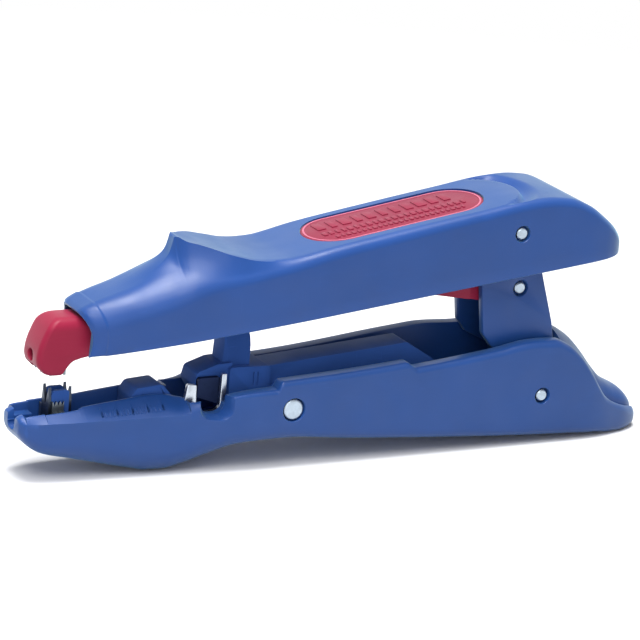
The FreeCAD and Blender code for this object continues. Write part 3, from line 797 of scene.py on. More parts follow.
@dataclass(frozen=True)
class Finishes:
    """All finishes of the tool, built once."""

    body_blue: MouldedPlastic = MouldedPlastic("body_blue_moulding", paint(29, 71, 140), 0.37, gloss=0.36)
    handle_blue: MouldedPlastic = MouldedPlastic("handle_blue_moulding", paint(19, 66, 138), 0.35,
                                                 gloss=0.38, haze=0.45, bloom=(0.5, 0.88, 1.0, 1.0))
    # Same blue plastic as the body, its base painted lighter to make up for the shade that the handle casts
    # over the parts in the trough
    dark_blue: MouldedPlastic = MouldedPlastic("dark_blue_moulding", paint(50, 86, 158), 0.55, scratches=0.5,
                                               gloss=0.06, haze=0.1)
    jaw_red: MouldedPlastic = MouldedPlastic("jaw_red_moulding", paint(150, 32, 62), 0.40, haze=0.16,
                                             bloom=(1.0, 0.7, 0.8, 1.0))
    label_red: MouldedPlastic = MouldedPlastic("label_red_moulding", paint(134, 28, 57), 0.45, grain=0.02,
                                               gloss=0.3, bloom=(1.0, 0.7, 0.85, 1.0))
    # Pale pink of the line round the label's rim: a painted highlight of the rim's edge
    label_rim_highlight: MouldedPlastic = MouldedPlastic("label_pale_relief", paint(196, 106, 130), 0.5)
    anvil_steel: WorkedSteel = WorkedSteel("ground_anvil_steel", paint(190, 198, 208), 0.26, ALONG_WHEEL)
    blade_steel: WorkedSteel = WorkedSteel("hardened_blade_steel", paint(66, 74, 88), 0.36, ALONG_WHEEL)
    # Dark bluish steel for the cutter blade
    black_steel: WorkedSteel = WorkedSteel("blackened_steel", paint(34, 44, 72), 0.5, ALONG_WHEEL)
    die_steel: WorkedSteel = WorkedSteel("milled_die_steel", paint(120, 128, 134), 0.34, (1.0, 1.0, 0.05),
                                         0.008, 0.4)
    spring_steel: WorkedSteel = WorkedSteel("spring_wire_steel", paint(168, 170, 176), 0.3, (1.0, 1.0, 0.3))
    pin_steel: TurnedSteel = TurnedSteel("turned_pin_steel", paint(170, 184, 197), 0.3)
    built: dict[str, Material] = field(default_factory=dict)

    def get(self, key: str) -> Material:
        """Material of a finish, built at its first use.

        Args:
            key: The finish's name.

        Returns:
            Its material.
        """
        if key not in self.built:
            self.built[key] = getattr(self, key).material()
        return self.built[key]


FINISHES = Finishes()


def dress(piece: Piece, finish: str) -> None:
    """Give a piece one finish."""
    piece.data.materials.clear()
    piece.data.materials.append(FINISHES.get(finish))


def put(piece: Piece, body: str, finish: str, *nodes: str, slot: str = "") -> Piece:
    """Dress a piece, let it ride on a body and stand for CAD nodes.

    Args:
        piece: The finished piece.
        body: The CAD body that it moves with.
        finish: Name of the finish.
        nodes: CAD nodes that it stands for.
        slot: The record's material slot, where it isn't the finish's own name; not used.

    Returns:
        The same piece.
    """
    dress(piece, finish)
    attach(piece, body)
    if nodes:
        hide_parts(*nodes)
    log.info("%s: %d faces, rides on %s", piece.name, len(piece.data.polygons), body)
    return piece


# Handle


@dataclass
class HandleCover:
    """Long moulded handle, hollow below, with a thumb guard and a raised panel round the label."""

    front: float = -70.6
    wall: float = 2.2
    roof: float = 2.4
    lip: float = 0.8
    thickening: float = 16.6
    edge_height: float = 40.0
    edge_slope: float = 0.1228
    panel_centre: float = 35.5
    panel_half: float = 12.3
    dome_half: float = 17.6
    crease: float = 1.6
    front_bow: float = 1.3
    front_lean: float = 1.9
    shoulder_turn: float = 62.0
    flank_steps: int = 20
    top_steps: int = 14
    # Places between which the hollow ends at the rear, and its corner tightens in front
    end_wall: Flat = (68.2, 69.2)
    tight_corner: Flat = (-64.0, -57.0)
    stations: list[tuple[float, ...]] = field(default_factory=lambda: [
        # x, half width, shoulder height, shoulder radius
        (-70.6, 8.4, 41.9, 5.2), (-69.6, 8.8, 42.5, 5.4), (-66.0, 9.9, 44.3, 6.2),
        (-58.0, 11.2, 46.9, 7.0), (-50.0, 12.2, 49.1, 6.6), (-44.0, 12.8, 50.7, 5.6),
        (-38.0, 13.1, 51.5, 4.6), (-32.0, 13.4, 51.9, 3.8), (-20.0, 13.8, 53.6, 3.2),
        (-8.0, 14.0, 56.2, 2.9), (12.0, 14.0, 59.7, 2.7), (32.0, 14.0, 63.0, 2.5),
        (46.0, 14.0, 65.2, 2.4), (52.0, 14.0, 65.55, 2.3), (58.0, 14.0, 65.0, 2.2), (64.0, 14.0, 62.7, 2.2),
        (69.0, 13.7, 59.2, 2.3), (71.5, 13.1, 57.2, 2.4), (73.5, 12.0, 55.4, 2.6), (75.2, 10.0, 53.7, 2.4),
        (76.2, 7.6, 52.6, 1.6), (76.55, 5.8, 52.2, 1.0)])
    guard: list[tuple[float, ...]] = field(default_factory=lambda: [
        # x, rise of the middle over the shoulder, half width and sharpness of the top, rise of the flank
        (-67.0, 0.0, 3.0, 0.0, 0.0), (-60.0, 0.5, 2.9, 0.0, 0.5), (-56.0, 1.2, 2.8, 0.05, 1.3),
        (-53.5, 2.0, 2.6, 0.1, 2.1), (-51.2, 2.8, 2.4, 0.2, 2.9), (-49.3, 3.7, 2.0, 0.4, 3.7),
        (-48.2, 4.6, 1.7, 0.55, 4.2), (-47.6, 5.7, 1.5, 0.65, 4.5), (-47.2, 7.0, 1.4, 0.7, 4.7),
        (-46.8, 8.3, 1.5, 0.75, 4.8), (-46.3, 8.3, 2.3, 0.8, 4.9), (-45.5, 7.8, 3.4, 0.85, 5.0),
        (-44.6, 7.2, 4.4, 0.9, 5.1), (-42.4, 6.3, 5.9, 1.0, 5.1), (-40.2, 5.5, 7.4, 1.0, 4.9),
        (-38.1, 4.7, 8.8, 1.0, 4.5), (-35.7, 3.9, 10.0, 1.0, 3.9), (-32.3, 2.9, 10.8, 1.0, 2.9),
        (-28.7, 1.7, 11.2, 1.0, 1.7), (-23.9, 0.65, 11.4, 1.0, 0.65), (-19.0, 0.1, 11.4, 1.0, 0.1),
        (-12.0, 0.0, 11.2, 0.0, 0.0)])

    def edge(self, x: float) -> float:
        """Height of the lower edge."""
        return self.edge_height + self.edge_slope * x

    def half_ring(self, x: float, lines: list[Curve], guard: list[Curve]) -> tuple[list[Flat], list[Flat]]:
        """Outer and inner profile of one half, from the lower edge up to the middle.

        Args:
            x: Place along the tool.
            lines: Lines of the half width, shoulder height and shoulder radius.
            guard: Lines of the thumb guard.

        Returns:
            The outer and the inner points.
        """
        half, top, radius = (line(x) for line in lines)
        low = self.edge(x)
        outer = [(half - 0.25, low), (half - 0.05, low + 0.2)]
        outer += [(half, low + 0.5 + (top - radius - low - 0.5) * t) for t in (0.0, 0.25, 0.5, 0.75)]
        outer += self.top_profile(x, half, top, radius, guard)
        grown = min(max((x - self.front) / self.thickening, 0.0), 1.0)
        wall, roof = (self.lip + grown * (full - self.lip) for full in (self.wall, self.roof))
        depth = 1.0 - ease(x, *self.end_wall)
        ceiling = low + (top - roof - low) * depth
        corner = max(min(radius - wall, (ceiling - low) * 0.4), 0.05)
        corner += (min(corner, 1.5) - corner) * ease(x, *self.tight_corner)
        inner = [(half - 0.5, low), (half - wall + 0.2, low), (half - wall, low + 0.2 * depth)]
        inner += [(half - wall, low + (ceiling - corner - low) * t) for t in (0.33, 0.66)]
        inner += arc((half - wall - corner, ceiling - corner), corner, 0, 90, 4)
        inner += [((half - wall - corner) * t, ceiling) for t in (0.66, 0.33, 0.0)]
        return outer, inner

    def top_profile(self, x: float, half: float, top: float, radius: float,
                    guard: list[Curve]) -> list[Flat]:
        """Profile of the shoulder, the guard's hollow flank and its top, from the side to the middle.

        Args:
            x: Place along the tool.
            half: Half width of the cover.
            top: Height of the shoulder.
            radius: Rounding of the shoulder.
            guard: Lines of the guard's rise, half width, sharpness and flank.

        Returns:
            Points from the side's upper end to the middle.
        """
        rise, top_half, sharp, flank = (line(x) for line in guard)
        reach = half - 0.25 * radius
        power = 2.1 - 0.7 * ease(x, -44.0, -34.0)

        def base(y: float) -> float:
            """Height of the rounded top without the guard."""
            past = max(y - (half - radius), 0.0)
            return top - radius + math.sqrt(max(radius * radius - past * past, 0.0))

        def lift(y: float) -> float:
            """How far the guard raises the top."""
            along = min(max((y - top_half) / (reach - top_half), 0.0), 1.0)
            soft = math.cos(math.pi / 2 * min(y / reach, 1.0)) ** 2
            steep = sharp * (1 - along) ** power
            return flank * (steep + (1 - sharp) * soft) + (rise - flank) * (1 - along) ** 4.5

        profile = arc((half - radius, top - radius), radius, 0, self.shoulder_turn, 9)
        start = profile[-1][0]
        top_half = min(top_half, start - 0.5)
        profile = [(y, z + lift(y)) for y, z in profile]
        for i in range(1, self.flank_steps + 1):
            y = start + (top_half - start) * i / self.flank_steps
            profile.append((y, base(y) + lift(y)))
        crown = -0.3 * sharp * min(rise / 2.5, 1.0)
        for i in range(1, self.top_steps + 1):
            t = 1 - i / self.top_steps
            y = top_half * t
            profile.append((y, base(y) + lift(y) + crown * (1 - t * t)))
        return profile

    def step_down(self, x: float, y: float) -> float:
        """Depth of the crescent hollow between the panel's round end and the rear dome.

        Args:
            x: Place along the tool.
            y: Place across it.

        Returns:
            The depth in millimetres.
        """
        if x < self.panel_centre:
            return 0.0
        past = (math.hypot(x - self.panel_centre, y) - self.panel_half) / (self.dome_half - self.panel_half)
        fade = 1 - ease(abs(y), 10.4, 12.6)
        return self.crease * fade * ease(past, -0.02, 0.3) * (1 - ease(past, 0.32, 1.0))

    def bow(self, x: float, z: float, low: float, top: float) -> float:
        """How far the front edge is drawn back at mid height and leans forward at the top.

        Args:
            x: Place along the tool.
            z: Height of the point.
            low: Height of the lower edge.
            top: Height of the shoulder.

        Returns:
            The shift along the tool.
        """
        share = min(max((z - low) / max(top - low, 1.0), 0.0), 1.0)
        away = self.front_bow * math.sin(math.pi * share) - self.front_lean * share ** 1.5
        return away * (1 - ease(x, self.front, -60.0))

    def shell(self) -> Piece:
        """Skin of the cover, outside and inside.

        Returns:
            The closed shell.
        """
        lines, guard = curves(self.stations), curves(self.guard)
        places = [self.front, -70.4, -70.0] + spaced(-69.5, 0.7, 3) + spaced(-67.5, 0.15, 7)
        places += spaced(-66.0, 0.75, 20) + [-51.0, -50.5, -50.0, -49.6, -49.3, -49.0, -48.7, -48.45, -48.2]
        places += [-48.0, -47.8, -47.65, -47.5, -47.35, -47.2, -47.1, -47.0, -46.9, -46.75, -46.6]
        places += spaced(-46.4, 0.25, 6) + spaced(-44.5, 1.0, 84) + spaced(39.5, 0.3, 67)
        places += spaced(59.5, 0.6, 15) + [68.4, 68.8, 69.2] + spaced(69.8, 0.5, 12)
        places += [75.7, 76.0, 76.2, 76.4, 76.55]
        rings = []
        for x in places:
            outer, inner = self.half_ring(x, lines, guard)
            shrink = 0.35 * (1 - ease(x, self.front, -69.8)) - 0.22 * (1 - ease(x, -67.4, -66.7))
            outer = [(y - shrink if y > 1 else y, z - shrink) for y, z in outer]
            side_top = outer[6][1] + 0.3
            outer = [(y, z - (self.step_down(x, y) if z > side_top else 0.0)) for y, z in outer]
            ring = [(-y, z) for y, z in outer] + outer[-2::-1] + inner + [(-y, z) for y, z in inner[-2::-1]]
            low, top = self.edge(x), lines[1](x)
            rings.append([(x + self.bow(x, z, low, top), y, z) for y, z in ring])
        return loft("handle_cover_shell", rings, SHELL_SMOOTH)

    def build(self) -> Piece:
        """Make the cover with its label field, pin rings, ribs and bosses.

        Returns:
            The dressed piece.
        """
        cover = self.shell()
        cutters = [label_prism("label_field", -1.5, 8.0, 0.0)]
        cutters += both_sides("pin_ring", HANDLE_PIVOT, [(HANDLE_HALF - 2.0, 2.1),
                                                         (HANDLE_HALF - 0.15, 2.15), (HANDLE_HALF + 1, 3.0)])
        work_with(cover, Joining.CUT, *cutters, smooth_below=SHELL_SMOOTH)
        bosses = both_sides("boss", HANDLE_PIVOT, [(POST_HALF + 0.3, 4.1), (POST_HALF + 0.6, 4.4),
                                                   (HANDLE_HALF - self.wall + 0.1, 4.6)])
        rib = [(-47.0, 38.9, 2), (-28.8, 37.1, 2), (-28.8, 49.0, 0), (-45.4, 49.0, 0)]
        for y in (-5.4, 3.4):
            bosses.append(soften(side_plate("roller_rib", rib, y, y + 2.0), 0.2))
        ribs = Row("roof_ribs", start=(4.8, 0.0, 55.07), step=(12.0, 0.0, 1.92), count=3,
                   bar=(1.6, 2 * HANDLE_HALF - 2, 3.6))
        bosses.append(soften(ribs.build(FINISHES.get("handle_blue")), 0.25))
        return put(pieces_joined("handle_cover_moulding", [cover] + bosses, 30.0), "handle", "handle_blue",
                   "handle_cover")


def label_prism(name: str, low: float, high: float, gap: float) -> Piece:
    """Round-ended plate on the slope of the label field, between two heights from it.

    Args:
        name: Name of the piece.
        low: Height of its under face.
        high: Height of its top face.
        gap: How far its outline stays inside the field's.

    Returns:
        The closed piece.
    """
    half, reach = LABEL_WIDTH / 2 - gap, LABEL_LENGTH / 2 - LABEL_WIDTH / 2
    outline = arc((reach, 0.0), half, -90, 90, 28) + arc((-reach, 0.0), half, 90, 270, 28)
    middle_x, middle_z = ((front + rear) / 2 for front, rear in zip(LABEL_FRONT, LABEL_REAR))
    run, rise = math.cos(LABEL_TILT), math.sin(LABEL_TILT)
    return loft(name, [[(middle_x + u * run - height * rise, v, middle_z + u * rise + height * run)
                        for u, v in outline] for height in (low, high)])


@dataclass
class LabelPlate:
    """Red inlay in the handle with a pale line painted round its rim as a highlight, and a plain pattern in
    relief.
    """

    thick: float = 1.2
    sink: float = 0.3
    bar_height: float = 0.5
    # Place across, first and last place along, pitch, size of a bar, seed
    rows: tuple[tuple[float, float, float, float, Flat, int], ...] = (
        (3.6, -5.0, 33.0, 3.5, (2.6, 4.6), 4), (-2.0, -6.0, 34.0, 1.75, (1.3, 2.2), 7),
        (-5.4, -4.0, 32.0, 1.45, (1.05, 1.5), 12))

    def build(self) -> None:
        """Make the inlay, its painted rim highlight and its bars."""
        plate = label_prism("label_inlay", -self.thick - self.sink, -self.sink, 0.15)
        soften(plate, 0.2)
        put(plate, "handle", "label_red", "label_plate")
        put(self.relief(), "handle", "label_rim_highlight", slot="label_red")
        put(self.bars(), "handle", "label_red")

    def relief(self) -> Piece:
        """Pale line painted round the rim as a highlight, a hair above the inlay.

        Returns:
            The line, before it is dressed.
        """
        # Thin raised ring that carries the painted rim highlight
        rim = label_prism("label_rim_line", -self.sink - 0.1, -self.sink + 0.12, 0.7)
        work_with(rim, Joining.CUT, label_prism("rim_inside", -2.0, 2.0, 1.15))
        return rim

    def bars(self) -> Piece:
        """Three rows of short raised bars in the inlay's own colour.

        Returns:
            The bars, before they are dressed.
        """
        climb = math.tan(LABEL_TILT)
        rows = []
        for y, first, last, pitch, size, seed in self.rows:
            count = int((last - first) / pitch) + 1
            height = LABEL_FRONT[1] + (first - LABEL_FRONT[0]) * climb - self.sink + 0.02
            row = Row("label_bars", (first, y, height), (pitch, 0.0, pitch * climb), count,
                      (*size, self.bar_height), (0.0, -LABEL_TILT, 0.0), 0.55, seed)
            rows.append(soften(row.build(FINISHES.get("label_red")), 0.08))
        return pieces_joined("label_bar_relief", rows)


# Body


@dataclass(frozen=True)
class Sink:
    """Stretch of the body's top with a stepped trough in it: upper and lower half width and floor."""

    start: float
    end: float
    half: float
    floor: float
    low_half: float
    low_floor: float
    round: float


@dataclass
class LowerBody:
    """Trough-shaped moulding with the lower jaw in front and a crowned tongue at the tail."""

    inner_half: float = 8.8
    channel_edge: float = 4.75
    floor: float = 2.0
    fillet: float = 0.35
    tail: float = 88.4
    tongue_steps: int = 14
    # Places between which the tongue's section turns from a parabola into an ellipse
    tongue_turns: Flat = (73.0, 78.5)
    # Place where the trough ends and the tongue begins
    trough_end: float = 61.2
    notch: tuple[Corner, ...] = ((-40.2, 30, 0), (-40.2, 14.5, 2.4), (-33.9, 14.5, 2.4), (-33.9, 30, 0))
    flare: tuple[Corner, ...] = ((-44.0, 30, 0), (-44.0, 12.9, 3.6), (-32.0, 12.9, 3.6), (-32.0, 30, 0))
    stations: list[tuple[float, ...]] = field(default_factory=lambda: [
        # x, half width, underside, rim, lower rounding, upper rounding, drop of the chamfer, its share
        (-86.6, 4.6, 12.0, 15.4, 1.4, 1.0, 1.0, 0.0), (-86.3, 5.1, 11.3, 15.7, 1.7, 1.2, 1.2, 0.1),
        (-85.0, 6.4, 9.6, 16.3, 2.4, 1.6, 1.6, 0.6), (-81.0, 7.8, 6.9, 16.7, 3.4, 2.0, 1.7, 0.95),
        (-73.5, 8.8, 4.9, 17.2, 4.6, 2.4, 2.1, 0.95), (-68.0, 9.1, 3.5, 17.9, 5.2, 2.6, 2.8, 0.95),
        (-57.0, 9.7, 0.8, 19.0, 6.0, 2.8, 4.0, 0.95), (-53.0, 10.0, 0.0, 19.4, 6.2, 3.0, 4.3, 0.95),
        (-49.0, 10.3, 0.0, 19.3, 6.2, 3.0, 4.1, 0.95), (-45.0, 10.7, 0.9, 18.4, 6.0, 2.4, 3.0, 0.9),
        (-43.0, 11.0, 1.6, 18.0, 5.8, 1.9, 2.2, 0.6), (-39.0, 11.5, 3.2, 18.1, 5.4, 1.2, 1.4, 0.2),
        (-35.0, 12.1, 4.9, 18.9, 4.6, 0.8, 1.0, 0.0), (-32.0, 12.4, 6.0, 19.6, 4.0, 0.7, 1.0, 0.0),
        (-26.0, 12.8, 7.1, 20.2, 2.4, 1.1, 1.0, 0.0), (-18.0, 13.0, 7.3, 20.6, 2.4, 1.3, 1.0, 0.0),
        (0.0, 13.0, 5.7, 21.6, 2.4, 1.4, 1.0, 0.0), (20.0, 13.0, 4.1, 23.3, 2.4, 1.5, 1.0, 0.0),
        (40.0, 13.0, 2.7, 25.6, 2.4, 1.6, 1.0, 0.0), (52.0, 13.0, 2.0, 27.4, 2.4, 1.8, 1.0, 0.0),
        (58.0, 13.0, 1.7, 27.3, 2.4, 1.9, 1.0, 0.0), (62.0, 13.0, 1.5, 25.7, 2.4, 2.0, 1.0, 0.0),
        (66.0, 12.9, 1.3, 22.5, 2.4, 2.0, 1.0, 0.0), (70.0, 12.7, 1.0, 17.5, 2.3, 1.9, 1.0, 0.0),
        (72.5, 12.4, 0.9, 13.8, 2.2, 1.8, 1.0, 0.0), (75.0, 11.9, 0.6, 10.6, 2.0, 1.7, 1.0, 0.0),
        (78.0, 11.1, 0.2, 8.4, 2.0, 1.3, 1.0, 0.0), (82.0, 9.9, 0.0, 6.8, 2.0, 1.7, 1.0, 0.0),
        (85.0, 8.4, 0.1, 5.8, 2.2, 2.2, 1.0, 0.0), (86.8, 7.0, 0.4, 5.1, 1.9, 2.2, 1.0, 0.0),
        (87.7, 5.7, 0.8, 4.5, 1.6, 1.8, 1.0, 0.0), (88.2, 4.2, 1.3, 4.0, 1.2, 1.2, 1.0, 0.0),
        (88.4, 2.6, 1.9, 3.4, 0.7, 0.6, 1.0, 0.0)])
    tongue: list[tuple[float, ...]] = field(default_factory=lambda: [
        # x, top of the tongue, its half width, how square its section is
        (61.0, 28.4, 9.0, 2.0), (63.3, 27.4, 9.0, 2.0), (66.9, 25.2, 8.9, 2.0), (71.3, 20.9, 8.6, 2.1),
        (75.0, 16.4, 8.0, 2.2), (77.5, 13.5, 7.4, 2.3), (80.0, 11.8, 7.0, 2.4), (84.0, 9.7, 6.2, 2.4),
        (86.3, 7.6, 5.0, 2.4), (87.4, 6.0, 3.8, 2.2), (88.1, 4.6, 2.6, 2.0), (88.4, 3.5, 1.4, 2.0)])

    # Groove, blade seats and channel from the tip to the trough
    sinks: tuple[Sink, ...] = (
        Sink(-90.0, -85.0, 2.2, 13.6, 2.1, 11.9, 1.6), Sink(-85.0, -80.2, 4.9, 14.5, 2.2, 11.9, 1.6),
        Sink(-80.2, -71.4, 5.5, 12.3, 2.2, 11.9, 0.3), Sink(-71.4, -70.4, 4.9, 14.5, 2.2, 11.9, 1.4),
        Sink(-70.4, -43.6, 4.3, 12.8, 4.1, 12.6, 0.3))

    def sink_at(self, x: float) -> Sink | None:
        """The sink that a cross-section cuts, if there is one."""
        return next((sink for sink in self.sinks if sink.start <= x < sink.end), None)

    def pad(self, x: float, side: int) -> float:
        """Height of the raised stretch of a rim over the rim itself.

        Args:
            x: Place along the tool.
            side: 1 for the far rim and -1 for the near one.

        Returns:
            The height in millimetres.
        """
        end = 14.6 if side < 0 else 45.5
        height = 1.9 if side < 0 else 2.0 + 1.3 * ease(x, -20, 22) - 2.1 * ease(x, 27, 45)
        return height * ease(x, -21.2, -19.9) * (1 - ease(x, end, end + 3.2))

    def top_profile(self, x: float, start: Flat, bottom: float, tongue: list[Curve]) -> list[Flat]:
        """Half profile of the top from the rim's inner edge to the middle.

        Args:
            x: Place along the tool.
            start: Place of the rim's inner edge.
            bottom: Height of the underside.
            tongue: Lines of the tongue's top, half width and squareness.

        Returns:
            Points from the rim to the middle.
        """
        rim_half, rim_z = start
        sink = self.sink_at(x)
        if sink is not None:
            return self.sunk(rim_z, sink)
        if x <= self.trough_end:
            lowest = max(bottom + self.floor, 7.0 - 0.2 * (x + 43.6)) if x < -30 else bottom + self.floor
            half = self.inner_half
            return self.sunk(rim_z, Sink(x, x, half, lowest + 1.4, half - 1.0, lowest, 1.2))
        crown, half, square = (line(x) for line in tongue)
        half = min(half, rim_half - 0.3)
        valley = min(rim_z - 0.35, crown - 0.05)
        profile = [(rim_half - 0.12, rim_z - 0.1), ((rim_half + half) / 2, valley)]
        steep = ease(x, *self.tongue_turns)
        for i in range(self.tongue_steps + 1):
            turn = math.radians(90 * i / self.tongue_steps)
            across = max(math.cos(turn), 0.0) ** (2 / square) if i < self.tongue_steps else 0.0
            height = (1 - steep) * (1 - across * across) + steep * math.sin(turn) ** (2 / square)
            profile.append((half * across, valley + (crown - valley) * height))
        return profile

    def sunk(self, rim_z: float, sink: Sink) -> list[Flat]:
        """Half profile of a stepped trough with softened edges.

        Args:
            rim_z: Height of the rim.
            sink: Sizes of the trough.

        Returns:
            Points from the rim to the middle.
        """
        half, low, floor = sink.half, sink.low_half, sink.floor
        deep = floor - sink.low_floor
        bend = min(sink.round, low - 0.1)
        edge = half - self.fillet
        profile = [(half + 0.12, rim_z - 0.12), (half, rim_z - 0.4), (half, floor + self.fillet),
                   (half - 0.1, floor + 0.1), (edge, floor), (min(low + 0.2, edge), floor),
                   (low, floor - min(0.2, deep) * 0.9)]
        high = min(bend, deep)
        for i in range(1, 8):
            a = math.radians(-90 * i / 7)
            profile.append((low - bend + bend * math.cos(a), sink.low_floor + high + high * math.sin(a)))
        profile += [((low - bend) * t, sink.low_floor) for t in (0.5, 0.25, 0.0)]
        return profile

    def half_ring(self, x: float, side: int, lines: list[Curve], tongue: list[Curve]) -> list[Flat]:
        """Half cross-section from the middle of the underside round to the middle of the top.

        Args:
            x: Place along the tool.
            side: 1 for the far half and -1 for the near one.
            lines: Lines of the stations.
            tongue: Lines of the tongue.

        Returns:
            Points (across, height), with the across place not yet mirrored.
        """
        half, bottom, rim, low_round, high_round, drop, chamfer = (line(x) for line in lines)
        rim += self.pad(x, side)
        points: list[Flat] = [(0.0, bottom), ((half - low_round) * 0.5, bottom)]
        points += arc((half - low_round, bottom + low_round), low_round, -90, 0, 7)
        side_low, side_high = bottom + low_round, rim - high_round + (high_round - drop) * chamfer
        points += [(half, side_low + (side_high - side_low) * t) for t in (0.33, 0.66)]
        sink = self.sink_at(x)
        inner = sink.half if sink else self.inner_half
        inner_edge = min(inner + 0.45, half - 0.7 * high_round)
        flat_from = half - high_round
        end_angle = 90.0
        if flat_from < inner_edge:
            end_angle = math.degrees(math.acos(min(max((inner_edge - flat_from) / high_round, 0.0), 0.98)))
        bend = arc((flat_from, rim - high_round), high_round, 0, end_angle, 10)
        for i, (y, z) in enumerate(bend):
            slope = (half + (inner_edge + 0.1 - half) * i / 10, rim - drop + drop * i / 10)
            points.append((y + (slope[0] - y) * chamfer, z + (slope[1] - z) * chamfer))
        edge_z = points[-1][1]
        points.append((inner_edge, edge_z))
        return points + self.top_profile(x, (inner_edge, edge_z), bottom, tongue)

    def places(self) -> list[float]:
        """Places of the cross-sections, close together where the shape turns.

        Returns:
            Rising places along the tool.
        """
        spots = set(spaced(-86.6, 0.15, 4)) | {round(x, 3) for x in spaced(-85.9, 0.45, 388)}
        for joint in (-85.0, -80.2, -71.4, -70.4, -43.6, self.trough_end):
            spots = {spot for spot in spots if abs(spot - joint) > 0.3}
            spots |= {joint + shift for shift in (-0.16, -0.001, 0.001, 0.16)}
        spots |= {88.0, 88.2, 88.32, self.tail}
        return sorted(spot for spot in spots if spot <= self.tail)

    def shell(self) -> Piece:
        """Skin through all cross-sections.

        Returns:
            The closed shell.
        """
        lines, tongue = curves(self.stations), curves(self.tongue)
        rings = []
        for x in self.places():
            right = self.half_ring(x, 1, lines, tongue)
            left = [(-y, z) for y, z in self.half_ring(x, -1, lines, tongue)]
            ring = right + left[-2:0:-1]
            rings.append([(x, y, z) for y, z in ring])
        return loft("lower_body_shell", rings, SHELL_SMOOTH)

    def build(self) -> Piece:
        """Make the body with its notch, pin rings, bosses and seats.

        Returns:
            The dressed scale of ticks, made last.
        """
        body = self.shell()
        notch, flare = rounded(self.notch, 10), rounded(self.flare, 10)
        middle = [tuple(n + (f - n) * 0.35 for n, f in zip(a, b)) for a, b in zip(notch, flare)]
        cutters = [loft("notch", [[(u, y, v) for u, v in ring] for y, ring in
                                  ((-13.4, flare), (-11.4, middle), (-8.6, notch), (-2.0, notch))])]
        for centre, radius in ((LEVER_PIVOT, LARGE_PIN + 0.4), (POST_FOOT, SMALL_PIN + 0.6)):
            cutters += both_sides("pin_ring", centre, [(BODY_HALF - 2.6, radius),
                                                       (BODY_HALF - 0.12, radius + 0.05),
                                                       (BODY_HALF + 1, radius + 0.9)])
        work_with(body, Joining.CUT, *cutters, smooth_below=SHELL_SMOOTH)
        wall = side_plate("anvil_wall", [(-43.9, 4.5, 0), (-31.6, 8.2, 0), (-31.6, 16.8, 0.6),
                                         (-43.9, 16.8, 0.6)], -8.9, -6.95)
        extras = [work_with(soften(wall, 0.25), Joining.CUT, side_plate("notch_low", self.notch, -12, 0))]
        for centre, radius, gap in ((POST_FOOT, 4.2, POST_HALF), (LEVER_PIVOT, 4.6, 5.3)):
            extras += both_sides("boss", centre, [(gap, radius - 0.3), (gap + 0.3, radius),
                                                  (self.inner_half + 0.5, radius)])
        put(pieces_joined("lower_body_moulding", [body] + extras), "body", "body_blue", "lower_body")
        return put(self.scale(), "body", "body_blue")

    def scale(self) -> Piece:
        """Plain scale of raised ticks on the jaw's near slope, every fourth one long.

        Returns:
            The ticks, before they are dressed.
        """
        lines = curves(self.stations)
        spots = []
        for x in (-66.0, -50.0):
            half, rim, drop = lines[0](x), lines[2](x), lines[5](x)
            spots.append((x, -(half + self.channel_edge) / 2, rim - drop / 2,
                          math.atan2(drop, half - self.channel_edge)))
        (x0, y0, z0, slope), (x1, y1, z1, slope_end) = spots
        turn = ((slope + slope_end) / 2, 0.0, 0.0)
        rows = []
        for every, length, shift in ((1, 1.7, -0.8), (4, 3.1, -0.1)):
            count = 16 // every + 1
            step = tuple((b - a) * every / 16 for a, b in ((x0, x1), (y0, y1), (z0, z1)))
            start = (x0, y0 + shift * math.cos(turn[0]), z0 + shift * math.sin(turn[0]) - 0.02)
            row = Row("ticks", start, step, count, (0.42, length, 0.62), turn)
            rows.append(soften(row.build(FINISHES.get("body_blue")), 0.07))
        return pieces_joined("jaw_scale_ticks", rows)


@dataclass
class RearPost:
    """Moulded post with two cheeks and a web behind, which carries the handle and the jaw lever."""

    cheek: float = 2.2
    outline: tuple[Corner, ...] = ((49.4, 9.8, 1.0), (60.4, 8.4, 1.0), (60.4, 22.0, 3), (58.7, 30.9, 6),
                                   (54.6, 44.1, 8), (50.4, 57.0, 3), (47.4, 61.4, 3.0), (40.6, 60.2, 3.0),
                                   (38.2, 53.0, 4), (37.0, 42.3, 4), (38.6, 29.0, 1.5), (41.4, 25.4, 1.5),
                                   (49.4, 21.5, 3.0))

    def build(self) -> Piece:
        """Make the post, open in front and at the top.

        Returns:
            The dressed piece.
        """
        post = side_plate("rear_post_moulding", self.outline, -POST_HALF, POST_HALF)
        inside = POST_HALF - self.cheek
        opening = [(30.0, 0.0, 0), (58.2, 0.0, 0), (58.2, 22.0, 3), (56.5, 30.9, 6), (52.4, 44.1, 8),
                   (50.6, 50.0, 0), (60.0, 50.0, 0), (60.0, 70.0, 0), (30.0, 70.0, 0)]
        work_with(post, Joining.CUT, side_plate("post_opening", opening, -inside, inside),
                  *both_sides("pin_ring", JAW_PIVOT, [(POST_HALF - 1.9, 2.1), (POST_HALF + 1, 2.1)]))
        return put(soften(post, 0.35), "body", "body_blue", "rear_post")


